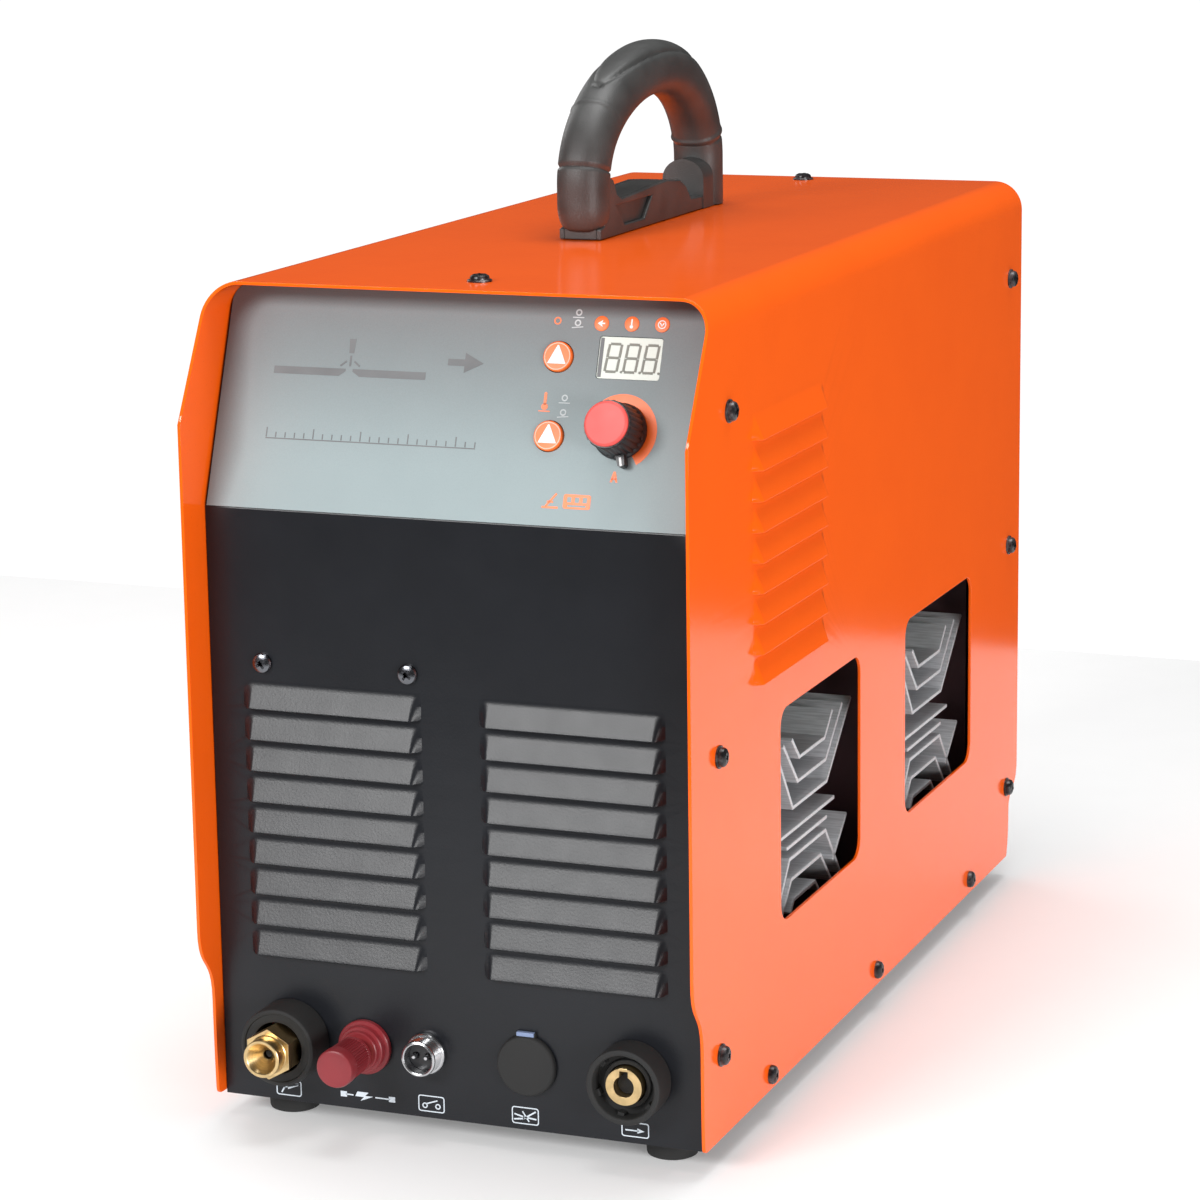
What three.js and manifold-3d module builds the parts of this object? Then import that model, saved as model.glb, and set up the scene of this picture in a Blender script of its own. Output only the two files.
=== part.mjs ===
// Plasma cutting machine with a built-in air pump: a folded sheet cabinet on four feet, with its front
// controls, connectors, carrying handle, cooling, power electronics and pump as separate pieces.
// Units are millimetres. Inside the cabinet group, X runs to the right seen from the front, Y runs from
// the cover's foremost edge to the back, and Z rises from the cover's bottom edge.

import * as THREE from 'three';
import { mergeVertices } from 'three/addons/utils/BufferGeometryUtils.js';
import Module from 'manifold-3d';

const wasm = await Module();
wasm.setup();

// ---------- driving dimensions ----------

const cabinetWidth = 240;
const coverDepth = 528;
const coverHeight = 375;
const sheet = 1.5;
const foldRadius = 15;
const fitGap = 0.3;
const innerHalf = cabinetWidth / 2 - sheet;
const innerTop = coverHeight - sheet;

const frontTip = 15;
const torchTip = 13;
const rearTip = 535;
const footHeight = 12;
const footRadius = 13;
const footPlaces = [[-94, 42], [94, 42], [-94, 486], [94, 486]];

const panelFace = 20;
const panelSheet = 2;
const panelBack = panelFace + panelSheet;
const panelBottom = -1.5;
const bendHeight = 275;
const panelTilt = Math.atan2(34, 91);
const tiltedLength = 104;
const overlaySheet = 0.8;

const window = { width: 120, height: 101, radius: 9, centreZ: 125.5, centresY: [178, 372.4] };

const sideLouver = { count: 9, pitch: 13.8, length: 100, height: 12, depth: 4.2, middleY: 130.5, topZ: 306.5 };
const frontLouver = { count: 9, pitch: 14.45, length: 87.5, height: 12.5, depth: 4.5, topZ: 184.3 };
const frontLouverMiddles = [-58.3, 57.2];

const connectorHeight = 29.5;
const torchX = -83;
const postX = -46;
const pinSocketX = -16;
const blankingX = 33.4;
const outputX = 84.6;

const knobPlace = [76.6, 43.4];
const buttonPlaces = { button_upper: [43.8, 75], button_lower: [43.7, 39.9] };
const indicatorPlaces = { indicator_power: [62.1, 90.5], indicator_heat: [76.1, 90.8], indicator_air: [90.1, 91] };
const displayPlace = [76.7, 75.7];
const displaySize = [29, 18.5];

const handle = { x: -14, y: 302, halfSpan: 80, springHeight: 400, rise: 51.5, halfWidth: 12.5, halfThick: 13 };

const rearFace = 512.5;
const rearSheet = 1.5;
const fanSize = 120;
const fanCentre = [-22, 150];
const fanY = 482;

// ---------- materials ----------

const finish = (color, roughness, metalness = 0) => new THREE.MeshStandardMaterial({ color, roughness, metalness });
const orangePaint = finish(0xff6414, 0.35);
const blackPaint = finish(0x2b2f33, 0.5);
const greyPrint = finish(0x9aa3a6, 0.45);
const blackPlastic = finish(0x1c1d1f, 0.5);
const handlePlastic = finish(0x35373a, 0.62);
const rubber = finish(0x141415, 0.9);
const redPlastic = finish(0xb8434a, 0.45);
const salmonPlastic = finish(0xf4776f, 0.5);
const orangePlastic = finish(0xff7a4a, 0.4);
const smokedLens = finish(0xb9c1b4, 0.2);
const brass = finish(0xc9a35a, 0.3, 1);
const chrome = finish(0xd8dade, 0.15, 1);
const steel = finish(0xa9adb2, 0.4, 1);
const aluminium = finish(0xc6c9cc, 0.4, 1);
const castAlloy = finish(0x9b9fa2, 0.6, 1);
const boardGreen = finish(0x1f6a3c, 0.55);
const copperWinding = finish(0xb4713a, 0.5, 0.6);
const yellowTape = finish(0xd9b23a, 0.6);
const fanPlastic = finish(0x222325, 0.55);
const blueSleeve = finish(0x27406f, 0.45);
const airHoseBlue = finish(0x2f62a8, 0.4);

// ---------- solids: closed triangle meshes, and their joins and cuts ----------

function signedVolume(points, triangles) {
  const corner = [new THREE.Vector3(), new THREE.Vector3(), new THREE.Vector3()];
  let volume = 0;
  for (let t = 0; t < triangles.length; t += 3) {
    corner.forEach((v, k) => v.fromArray(points, triangles[t + k] * 3));
    volume += corner[0].dot(corner[1].cross(corner[2])) / 6;
  }
  return volume;
}

function solid(geometry) {
  const bare = geometry.clone();
  bare.deleteAttribute('normal');
  bare.deleteAttribute('uv');
  const merged = mergeVertices(bare, 1e-4);
  const vertProperties = new Float32Array(merged.attributes.position.array);
  const triVerts = new Uint32Array(merged.index.array);
  if (signedVolume(vertProperties, triVerts) < 0) {
    for (let t = 0; t < triVerts.length; t += 3) {
      [triVerts[t], triVerts[t + 1]] = [triVerts[t + 1], triVerts[t]];
    }
  }
  return new wasm.Manifold(new wasm.Mesh({ numProp: 3, vertProperties, triVerts }));
}

const join = (...solids) => solids.reduce((whole, next) => whole.add(next));
const cut = (body, ...tools) => tools.reduce((whole, next) => whole.subtract(next), body);

function geometryOf(body) {
  const mesh = body.getMesh();
  const geometry = new THREE.BufferGeometry();
  geometry.setAttribute('position', new THREE.BufferAttribute(new Float32Array(mesh.vertProperties), 3));
  geometry.setIndex(new THREE.BufferAttribute(new Uint32Array(mesh.triVerts), 1));
  geometry.computeVertexNormals();
  return geometry;
}

// ---------- shapes: an outline is pushed along an axis, or turned about one ----------

function outline(points) {
  return new THREE.Shape(points.map(([u, v]) => new THREE.Vector2(u, v)));
}

function roundedRectangle(width, height, radius, u = 0, v = 0) {
  const left = u - width / 2 + radius;
  const right = u + width / 2 - radius;
  const low = v - height / 2 + radius;
  const high = v + height / 2 - radius;
  const shape = new THREE.Shape();
  shape.absarc(right, low, radius, -Math.PI / 2, 0);
  shape.absarc(right, high, radius, 0, Math.PI / 2);
  shape.absarc(left, high, radius, Math.PI / 2, Math.PI);
  shape.absarc(left, low, radius, Math.PI, Math.PI * 1.5);
  return shape;
}

const pushed = (shape, depth, curveSegments = 3) =>
  new THREE.ExtrudeGeometry(shape, { depth, bevelEnabled: false, curveSegments });

// shape (u, v) lies in (Y, Z), pushed from x0 to x1
function alongX(shape, x0, x1, curveSegments) {
  const turn = new THREE.Matrix4().makeBasis(
    new THREE.Vector3(0, 1, 0), new THREE.Vector3(0, 0, 1), new THREE.Vector3(1, 0, 0));
  return solid(pushed(shape, x1 - x0, curveSegments).applyMatrix4(turn).translate(x0, 0, 0));
}

// shape (u, v) lies in (X, Z), pushed from y0 to y1
function alongY(shape, y0, y1, curveSegments) {
  return solid(pushed(shape, y1 - y0, curveSegments).rotateX(Math.PI / 2).translate(0, y1, 0));
}

// shape (u, v) lies in (X, Y), pushed from z0 to z1
function alongZ(shape, z0, z1, curveSegments) {
  return solid(pushed(shape, z1 - z0, curveSegments).translate(0, 0, z0));
}

function block(low, high) {
  const size = high.map((value, k) => value - low[k]);
  const geometry = new THREE.BoxGeometry(...size);
  return solid(geometry.translate(...low.map((value, k) => value + size[k] / 2)));
}

const axes = { x: new THREE.Vector3(1, 0, 0), y: new THREE.Vector3(0, 1, 0), z: new THREE.Vector3(0, 0, 1) };

// profile holds [radius, distance along the axis]; it closes on the axis, or on itself where it is a ring
function turned(profile, axis, place = [0, 0, 0], sides = 16) {
  const points = profile.map(([radius, along]) => new THREE.Vector2(radius, along));
  if (profile[0][0] > 0) points.push(points[0].clone());
  const geometry = new THREE.LatheGeometry(points, sides);
  geometry.applyQuaternion(new THREE.Quaternion().setFromUnitVectors(axes.y, axes[axis]));
  return solid(geometry.translate(...place));
}

const rod = (radius, from, to, axis, place, sides) =>
  turned([[0, from], [radius, from], [radius, to], [0, to]], axis, place, sides);

const tube = (outer, inner, from, to, axis, place, sides) =>
  turned([[inner, from], [outer, from], [outer, to], [inner, to]], axis, place, sides);

function polygon(sides, radius, turn = 0) {
  const points = [];
  for (let k = 0; k < sides; k += 1) {
    const angle = turn + (k / sides) * Math.PI * 2;
    points.push([radius * Math.cos(angle), radius * Math.sin(angle)]);
  }
  return outline(points);
}

const moved = (body, x, y, z) => body.translate([x, y, z]);
const mirroredX = (body) => body.mirror([1, 0, 0]);

// ---------- the scene graph ----------

const machine = new THREE.Group();
const cabinet = new THREE.Group();
cabinet.position.set(0, -(coverDepth - 8) / 2, footHeight);
machine.add(cabinet);

// The tilted group's own axes: X to the right, Y up the slope from the bend, Z out of the panel's face.
const tilted = new THREE.Group();
tilted.position.set(0, panelFace, bendHeight);
tilted.rotation.x = Math.PI / 2 - panelTilt;
cabinet.add(tilted);

function piece(name, body, material, parent = cabinet) {
  const mesh = new THREE.Mesh(geometryOf(body), material);
  mesh.name = name;
  parent.add(mesh);
}

// ---------- cabinet ----------

function foldedSection(half, top, radius) {
  const shape = new THREE.Shape();
  shape.moveTo(-half, -20);
  shape.lineTo(half, -20);
  shape.absarc(half - radius, top - radius, radius, 0, Math.PI / 2);
  shape.absarc(-half + radius, top - radius, radius, Math.PI / 2, Math.PI);
  return shape;
}

function coverSide() {
  const side = new THREE.Shape();
  side.moveTo(17, 0);
  side.lineTo(507.5, 0);
  side.quadraticCurveTo(511.5, 0, 511.5, 4);
  side.lineTo(511.5, 26);
  side.bezierCurveTo(511.5, 36, coverDepth, 32, coverDepth, 44);
  side.lineTo(coverDepth, coverHeight + 1);
  side.lineTo(33.5, coverHeight + 1);
  side.lineTo(0, 315);
  side.lineTo(0, 82);
  side.bezierCurveTo(0, 64, 12.4, 62, 12.4, 46);
  side.lineTo(13, 4);
  side.quadraticCurveTo(13, 0, 17, 0);
  return side;
}

// A louver hood lies on a wall at x = 0 and stands out along +X, its mouth open downwards at z = 0.
function louverHood(louver, wall, inset) {
  const depth = louver.depth - inset;
  const height = louver.height - inset;
  const section = outline([[-wall, -inset], [depth, -inset], [depth, 1.5], [depth * 0.7, height * 0.6],
    [0, height], [-wall, height]]);
  const half = louver.length / 2 - inset;
  const plan = outline([[-wall, -half], [0, -half], [depth, -half + 5], [depth, half - 5], [0, half], [-wall, half]]);
  return alongY(section, -half, half).intersect(alongZ(plan, -inset - 1, louver.height));
}

function louverShells(louver, wall) {
  const outer = louverHood(louver, 0.5, 0);
  const inner = louverHood(louver, wall + 1, 1.2);
  return { outer, inner };
}

function cover() {
  const outside = alongY(foldedSection(cabinetWidth / 2, coverHeight, foldRadius), 0, coverDepth);
  const inside = alongY(foldedSection(innerHalf, innerTop, foldRadius - sheet), -1, coverDepth + 1);
  const side = alongX(coverSide(), -cabinetWidth / 2 - 1, cabinetWidth / 2 + 1);
  let shell = cut(outside, inside).intersect(side);
  for (const centreY of window.centresY) {
    const opening = roundedRectangle(window.width, window.height, window.radius, centreY, window.centreZ);
    shell = cut(shell, alongX(opening, -cabinetWidth, cabinetWidth));
  }
  const { outer, inner } = louverShells(sideLouver, sheet);
  for (let k = 0; k < sideLouver.count; k += 1) {
    const z = sideLouver.topZ - k * sideLouver.pitch;
    const hood = moved(outer, cabinetWidth / 2, sideLouver.middleY, z);
    const hollow = moved(inner, cabinetWidth / 2, sideLouver.middleY, z);
    shell = cut(join(shell, hood, mirroredX(hood)), hollow, mirroredX(hollow));
  }
  return shell;
}

piece('cover', cover(), orangePaint);

const trayHalf = innerHalf - fitGap;
const trayFront = panelFace + panelSheet + fitGap;
const trayBack = rearFace - rearSheet - fitGap;
const traySheet = 1.5;
const trayWall = 16;

function baseTray() {
  const floor = block([-trayHalf, trayFront, 0.5], [trayHalf, trayBack, 0.5 + traySheet]);
  const flange = block([trayHalf - traySheet, trayFront + 18, 0.5], [trayHalf, trayBack - 18, trayWall]);
  const vents = [];
  for (let k = 0; k < 5; k += 1) {
    vents.push(block([-60, 330 + k * 22, -1], [-10, 338 + k * 22, 4]));
  }
  return cut(join(floor, flange, mirroredX(flange)), ...vents);
}

piece('base_tray', baseTray(), blackPaint);

for (const [index, [x, y]] of footPlaces.entries()) {
  const label = ['front_left', 'front_right', 'rear_left', 'rear_right'][index];
  const profile = [[0, -footHeight], [footRadius - 2, -footHeight], [footRadius, -footHeight + 2.5],
    [footRadius - 1.5, 0.2], [0, 0.2]];
  piece(`foot_${label}`, turned(profile, 'z', [x, y, 0]), rubber);
}

// ---------- front panel ----------

const slopePoint = (along, depth = 0) => [
  panelFace + along * Math.sin(panelTilt) + depth * Math.cos(panelTilt),
  bendHeight + along * Math.cos(panelTilt) - depth * Math.sin(panelTilt),
];

// The bent sheet between two depths behind the outer face, seen from the side.
function bentBand(front, back) {
  const half = Math.tan(panelTilt / 2);
  return outline([[panelFace + front, panelBottom], [panelFace + back, panelBottom],
    [panelFace + back, bendHeight - back * half], slopePoint(tiltedLength, back), slopePoint(tiltedLength, front),
    [panelFace + front, bendHeight - front * half]]);
}

const panelInside = alongY(foldedSection(innerHalf - fitGap, innerTop - fitGap, foldRadius - sheet), 0, 80);
const onSlope = (body) => moved(body.rotate([THREE.MathUtils.radToDeg(Math.PI / 2 - panelTilt), 0, 0]),
  0, panelFace, bendHeight);

function panelHoles(clear = 0) {
  const holes = [rod(5.4 + clear, -20, 20, 'z', [...knobPlace, 0])];
  for (const place of Object.values(buttonPlaces)) holes.push(rod(7.3 + clear, -20, 20, 'z', [...place, 0]));
  for (const place of Object.values(indicatorPlaces)) holes.push(rod(2.9 + clear, -20, 20, 'z', [...place, 0], 10));
  const glass = roundedRectangle(displaySize[0] + 2 * clear, displaySize[1] + 2 * clear, 1, ...displayPlace);
  holes.push(alongZ(glass, -20, 20, 2));
  return holes;
}

function frontPanel() {
  const face = alongX(bentBand(0, panelSheet), -innerHalf, innerHalf);
  const flange = cut(alongX(bentBand(0, 16), innerHalf - fitGap - traySheet, innerHalf),
    block([0, panelBack, -10], [200, 60, 4]));
  let panel = join(face, flange, mirroredX(flange)).intersect(panelInside);
  const { outer, inner } = louverShells(frontLouver, panelSheet);
  for (const middle of frontLouverMiddles) {
    for (let k = 0; k < frontLouver.count; k += 1) {
      const place = [middle, panelFace, frontLouver.topZ - k * frontLouver.pitch];
      panel = cut(join(panel, moved(outer.rotate([0, 0, -90]), ...place)), moved(inner.rotate([0, 0, -90]), ...place));
    }
  }
  const holes = [[torchX, 12.3], [postX, 5.3], [pinSocketX, 7.8], [blankingX, 10.3], [outputX, 12.3]];
  for (const [x, radius] of holes) panel = cut(panel, rod(radius, 0, 60, 'y', [x, 0, connectorHeight]));
  for (const x of [-92, -20.4]) panel = cut(panel, rod(2.3, 0, 60, 'y', [x, 0, 205], 8));
  return cut(panel, ...panelHoles(0.3).map(onSlope));
}

piece('front_panel', frontPanel(), blackPaint);

// The printed sheet covers the whole tilted face and follows the cabinet's rounded top corners.
function panelOverlay() {
  const border = roundedRectangle(2 * innerHalf - 3, 200, 14, 0, tiltedLength - 5 - 100);
  const slab = alongZ(border, fitGap, fitGap + overlaySheet).intersect(block([-200, 0.5, -1], [200, 200, 5]));
  return cut(slab, ...panelHoles(0.3));
}

piece('panel_overlay', panelOverlay(), greyPrint, tilted);

const overlayTop = fitGap + overlaySheet;

function knobBody() {
  const skirt = [[0, overlayTop + 0.4], [12, overlayTop + 0.4], [12, 4.5], [11, 6], [11, 17.5], [10.6, 18], [0, 18]];
  const pointer = alongZ(outline([[-2.4, 0], [2.4, 0], [1.4, -14.5], [-1.4, -14.5]]), overlayTop + 0.4, 6);
  const stem = rod(3, -9, 3, 'z', [0, 0, 0], 12);
  const seat = rod(9.6, 17, 20, 'z', [0, 0, 0], 20);
  return moved(cut(join(turned(skirt, 'z', [0, 0, 0], 20), pointer, stem), seat), ...knobPlace, 0);
}

piece('knob_body', knobBody(), blackPlastic, tilted);
piece('knob_cap', turned([[0, 17.3], [9.2, 17.3], [9.2, 18.6], [8.4, 19.2], [0, 19.2]], 'z', [...knobPlace, 0], 20),
  salmonPlastic, tilted);

const boardDepth = 13;

function potentiometer() {
  const can = rod(8.4, -boardDepth + fitGap, -5.5, 'z');
  const bush = tube(4.9, 3.3, -6, overlayTop, 'z', [0, 0, 0], 12);
  return moved(cut(join(can, bush), rod(3.3, -9.5, 2, 'z', [0, 0, 0], 12)), ...knobPlace, 0);
}

piece('potentiometer', potentiometer(), steel, tilted);

const buttonStem = [[0, -9], [2.5, -9], [2.5, -4], [6, -4], [6, -2.6], [7, -2.6], [7, 2.6], [6.4, 3.2], [0, 3.2]];
for (const [name, place] of Object.entries(buttonPlaces)) {
  piece(name, turned(buttonStem, 'z', [...place, 0]), orangePlastic, tilted);
}

const lampProfile = [[0, -10], [2.5, -10], [2.5, 1.3], [1.8, 2], [0, 2.3]];
for (const [name, place] of Object.entries(indicatorPlaces)) {
  piece(name, turned(lampProfile, 'z', [...place, 0], 10), orangePlastic, tilted);
}

const displayBack = -6.5;
piece('display_window', alongZ(roundedRectangle(...displaySize, 1, ...displayPlace), -1.2, 0.6, 2), smokedLens, tilted);

function displayModule() {
  const [x, y] = displayPlace;
  const [w, h] = displaySize;
  return block([x - w / 2 + 0.5, y - h / 2 + 0.5, displayBack], [x + w / 2 - 0.5, y + h / 2 - 0.5, -1.6]);
}

piece('display_module', displayModule(), blackPlastic, tilted);

function controlBoard() {
  const board = block([32, 20, -boardDepth - 1.6], [108, 98, -boardDepth]);
  const chip = block([40, 50, -boardDepth - 4], [56, 60, -boardDepth - 1.5]);
  const plug = block([60, 24, -boardDepth - 8], [84, 31, -boardDepth - 1.5]);
  return join(board, chip, plug);
}

piece('control_board', controlBoard(), boardGreen, tilted);

// ---------- front connectors, each turned about a line that points out of the lower panel ----------

const connector = (name, body, material, x) => piece(name, moved(body, x, 0, connectorHeight), material);
const seat = panelFace - fitGap;

connector('torch_collar', turned([[12.8, seat], [18.5, seat], [18.5, 4.1], [17, 2.6], [12.8, 2.6]], 'y'),
  blackPlastic, torchX);

function torchConnector() {
  const body = join(
    rod(12, 0.5, 44, 'y'),
    alongY(polygon(6, 12, Math.PI / 6), -6, 1),
    turned([[0, -5], [8.9, -5], [8.5, -torchTip], [0, -torchTip]], 'y'));
  const bore = turned([[0, -torchTip - 1], [6.4, -torchTip - 1], [2.6, -6], [2.6, 30], [0, 30]], 'y');
  return cut(body, bore);
}

connector('torch_connector', torchConnector(), brass, torchX);

const ferruleRest = 7.2;
connector('post_base', turned([[3.4, 30], [5, 30], [5, seat], [11.5, seat], [11.5, 15], [9.4, 13.5], [9.4, 10.5],
  [3.4, 10.5]], 'y'), redPlastic, postX);
connector('post_stud', join(rod(3.1, -6, 40, 'y', [0, 0, 0], 12), tube(6, 2.5, 31, 34, 'y', [0, 0, 0], 6)), brass,
  postX);
connector('post_ferrule', tube(6.5, 3.4, ferruleRest, 10.2, 'y'), brass, postX);

function postCap() {
  const body = turned([[3.4, ferruleRest - fitGap], [8.4, ferruleRest - fitGap], [8.4, -8], [8.9, -8.6], [8.9, -13.6],
    [8, -frontTip], [0, -frontTip], [0, -6.5], [3.4, -6.5]], 'y');
  return body;
}

connector('post_cap', postCap(), redPlastic, postX);

connector('pin_socket_shell', turned([[6.6, 34], [7.6, 34], [7.6, seat], [9.6, seat], [9.6, 17.2], [8.4, 16.6],
  [8.4, 10.4], [7.8, 9.8], [6.6, 9.8]], 'y', [0, 0, 0], 18), chrome, pinSocketX);

function pinSocketInsert() {
  const pins = [-3, 3].map((x) => rod(1.1, 11.5, 16, 'y', [x, 0, 0], 6));
  return join(rod(6.3, 15, 34, 'y'), ...pins);
}

connector('pin_socket_insert', pinSocketInsert(), blackPlastic, pinSocketX);

connector('blanking_cap', join(rod(10, 18.5, 27, 'y'),
  turned([[0, 16.4], [12.6, 16.4], [14, 17.4], [14, seat], [0, seat]], 'y', [0, 0, 0], 20),
  block([-4, 17.2, 12], [4, seat, 16])), blackPlastic, blankingX);

function outputCollar() {
  return turned([[9.2, 42], [12, 42], [12, seat], [17.5, seat], [17.5, 6.2], [16.3, 5], [14.4, 5], [14.4, 9.5],
    [9.2, 9.5]], 'y', [0, 0, 0], 20);
}

connector('output_collar', outputCollar(), blackPlastic, outputX);

function outputContact() {
  const barrel = rod(8.8, 6.5, 46, 'y');
  const bore = rod(4.6, 5, 38, 'y');
  const keyway = block([-1.8, 5, 0], [1.8, 38, 6.8]);
  return cut(barrel, bore, keyway);
}

connector('output_contact', outputContact(), brass, outputX);

for (const [side, x] of [['left', -92], ['right', -20.4]]) {
  const screw = turned([[0, 30], [2, 30], [2, seat], [4.6, seat], [4.6, 18.4], [3.4, 17.2], [0, 17]], 'y', [0, 0, 0], 10);
  piece(`panel_screw_${side}`, moved(screw, x, 0, 205), chrome);
}

// ---------- carrying handle ----------

class HandleCurve extends THREE.Curve {
  getPoint(t, target = new THREE.Vector3()) {
    const foot = coverHeight + fitGap;
    const straight = handle.springHeight - foot;
    const arc = Math.PI * (handle.halfSpan + handle.rise) / 2;
    const total = 2 * straight + arc;
    const s = t * total;
    if (s < straight) return target.set(handle.x, handle.y - handle.halfSpan, foot + s);
    if (s > straight + arc) return target.set(handle.x, handle.y + handle.halfSpan, foot + total - s);
    const angle = Math.PI * (1 - (s - straight) / arc);
    return target.set(handle.x, handle.y + handle.halfSpan * Math.cos(angle),
      handle.springHeight + handle.rise * Math.sin(angle));
  }
}

function handleGrip() {
  const section = new THREE.Shape();
  section.absellipse(0, 0, handle.halfThick, handle.halfWidth, 0, Math.PI * 2);
  const geometry = new THREE.ExtrudeGeometry(section, { steps: 24, curveSegments: 7, extrudePath: new HandleCurve() });
  return solid(geometry);
}

piece('handle_grip', handleGrip(), handlePlastic);

function handleBar() {
  const half = handle.halfSpan - handle.halfThick - fitGap;
  const low = coverHeight + fitGap;
  const [lug, deck, recess] = [low + 23, low + 18, low + 14];
  const bar = alongX(outline([[-half, low], [half, low], [half, lug], [half - 8, lug], [half - 14, deck], [26, deck],
    [20, recess], [-20, recess], [-26, deck], [-half + 14, deck], [-half + 8, lug], [-half, lug]]), -10.5, 10.5);
  return moved(bar, handle.x, handle.y, 0);
}

piece('handle_bar', handleBar(), handlePlastic);

// ---------- rear wall, fan, switch, mains gland ----------

const switchPlace = [78, 300];
const glandPlace = [78, 60];
const studPlace = [40, 40];

function rearPanel() {
  const low = 0.5;
  const wall = alongY(foldedSection(innerHalf - fitGap, innerTop - fitGap, foldRadius - sheet), rearFace - rearSheet,
    rearFace).intersect(block([-200, 0, low], [200, 600, 400]));
  const flange = block([innerHalf - fitGap - traySheet, rearFace - 18, 20], [innerHalf - fitGap, rearFace - 1, 350]);
  const holes = [
    rod(56, 500, 520, 'y', [fanCentre[0], 0, fanCentre[1]], 28),
    block([switchPlace[0] - 13.5, 500, switchPlace[1] - 22.5], [switchPlace[0] + 13.5, 520, switchPlace[1] + 22.5]),
    rod(9.3, 500, 520, 'y', [glandPlace[0], 0, glandPlace[1]]),
    rod(3.3, 500, 520, 'y', [studPlace[0], 0, studPlace[1]], 12),
  ];
  for (let k = 0; k < 6; k += 1) holes.push(block([-80, 500, 262 + k * 12], [30, 520, 267 + k * 12]));
  return cut(join(wall, flange, mirroredX(flange)), ...holes);
}

piece('rear_panel', rearPanel(), blackPaint);

const fanFront = fanY - 12;
const fanBack = rearFace - rearSheet - fitGap;

function fanFrame() {
  const square = alongY(roundedRectangle(fanSize, fanSize, 6), fanFront, fanBack, 2);
  const barrel = rod(57.5, fanFront - 1, fanBack + 1, 'y', [0, 0, 0], 28);
  const hub = rod(17, fanBack - 5, fanBack, 'y');
  const arms = [0, 1, 2, 3].map((k) =>
    block([-60, fanBack - 4, -2.5], [-15, fanBack, 2.5]).rotate([0, 45 + k * 90, 0]));
  return moved(join(cut(square, barrel), hub, ...arms), fanCentre[0], 0, fanCentre[1]);
}

piece('fan_frame', fanFrame(), fanPlastic);

function fanRotor() {
  const hub = rod(18.5, fanFront + 3, fanBack - 5.6, 'y');
  const blades = [];
  for (let k = 0; k < 7; k += 1) {
    const blade = block([16, -1, -13], [55, 1, 13]).rotate([38, 0, 0]);
    blades.push(moved(blade, 0, (fanFront + fanBack) / 2 - 1.5, 0).rotate([0, (k * 360) / 7, 0]));
  }
  return moved(join(hub, ...blades), fanCentre[0], 0, fanCentre[1]);
}

piece('fan_rotor', fanRotor(), blackPlastic);

function fanGuard() {
  const back = rearFace + fitGap;
  const rings = [56, 42, 28, 14].map((r) => tube(r + 0.9, r - 0.9, back + 1.6, back + 3.6, 'y', [0, 0, 0], 14));
  const spokes = [0, 1, 2, 3].map((k) =>
    block([-63, back, -1.2], [63, back + 2, 1.2]).rotate([0, 45 * k + 45, 0]));
  return moved(join(...rings, spokes[0], spokes[2]), fanCentre[0], 0, fanCentre[1]);
}

piece('fan_guard', fanGuard(), chrome);

function switchBody() {
  const [x, z] = switchPlace;
  const body = block([x - 13, 470, z - 22], [x + 13, rearFace + 3, z + 22]);
  const bezel = block([x - 18, rearFace + fitGap, z - 27], [x + 18, rearFace + 3, z + 27]);
  const slot = block([x - 7, 492, z - 12.5], [x + 7, rearFace + 4, z + 12.5]);
  return cut(join(body, bezel), slot);
}

piece('switch_body', switchBody(), blackPlastic);

const leverPivotY = rearFace - 8;

function switchLever() {
  const [x, z] = switchPlace;
  const barrel = rod(6, x - 6.5, x + 6.5, 'x', [0, leverPivotY, z], 14);
  const arm = block([x - 5, leverPivotY, z - 2.2], [x + 5, rearFace + 12, z + 2.2]);
  const around = [0, -leverPivotY, -z];
  return moved(moved(join(barrel, arm), ...around).rotate([-32, 0, 0]), 0, leverPivotY, z);
}

piece('switch_lever', switchLever(), redPlastic);

const glandNutBack = rearFace - rearSheet - fitGap;

function cableGland() {
  const back = rearFace + fitGap;
  const hexagon = alongY(polygon(6, 13.8), back, back + 6);
  const dome = turned([[0, back + 5], [11.4, back + 5], [11.4, back + 18], [9.4, rearTip], [0, rearTip]],
    'y');
  const thread = rod(9, glandNutBack - 9, back + 1, 'y');
  const bore = rod(4.6, 480, 560, 'y', [0, 0, 0], 12);
  return moved(cut(join(hexagon, dome, thread), bore), glandPlace[0], 0, glandPlace[1]);
}

piece('cable_gland', cableGland(), blackPlastic);

function glandNut() {
  const nut = cut(alongY(polygon(6, 14), glandNutBack - 6, glandNutBack), rod(9.3, 480, 540, 'y'));
  return moved(nut, glandPlace[0], 0, glandPlace[1]);
}

piece('gland_nut', glandNut(), blackPlastic);

function groundStud() {
  const shank = rod(3, 488, rearFace + 13, 'y', [0, 0, 0], 10);
  const nut = alongY(polygon(6, 6.4), rearFace + fitGap, rearFace + 5.2);
  return moved(join(shank, nut), studPlace[0], 0, studPlace[1]);
}

piece('ground_stud', groundStud(), brass);

// ---------- heat sinks: extruded along X, with bent plates nested above and below a solid core ----------

const sinkX = [16, 111];
const fin = 1.8;

// A straight fin between two points, as a thin four-sided outline.
function finOutline([y0, z0], [y1, z1]) {
  const length = Math.hypot(y1 - y0, z1 - z0);
  const across = [(-(z1 - z0) / length) * (fin / 2), ((y1 - y0) / length) * (fin / 2)];
  return outline([[y0 - across[0], z0 - across[1]], [y1 - across[0], z1 - across[1]], [y1 + across[0], z1 + across[1]],
    [y0 + across[0], z0 + across[1]]]);
}

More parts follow.
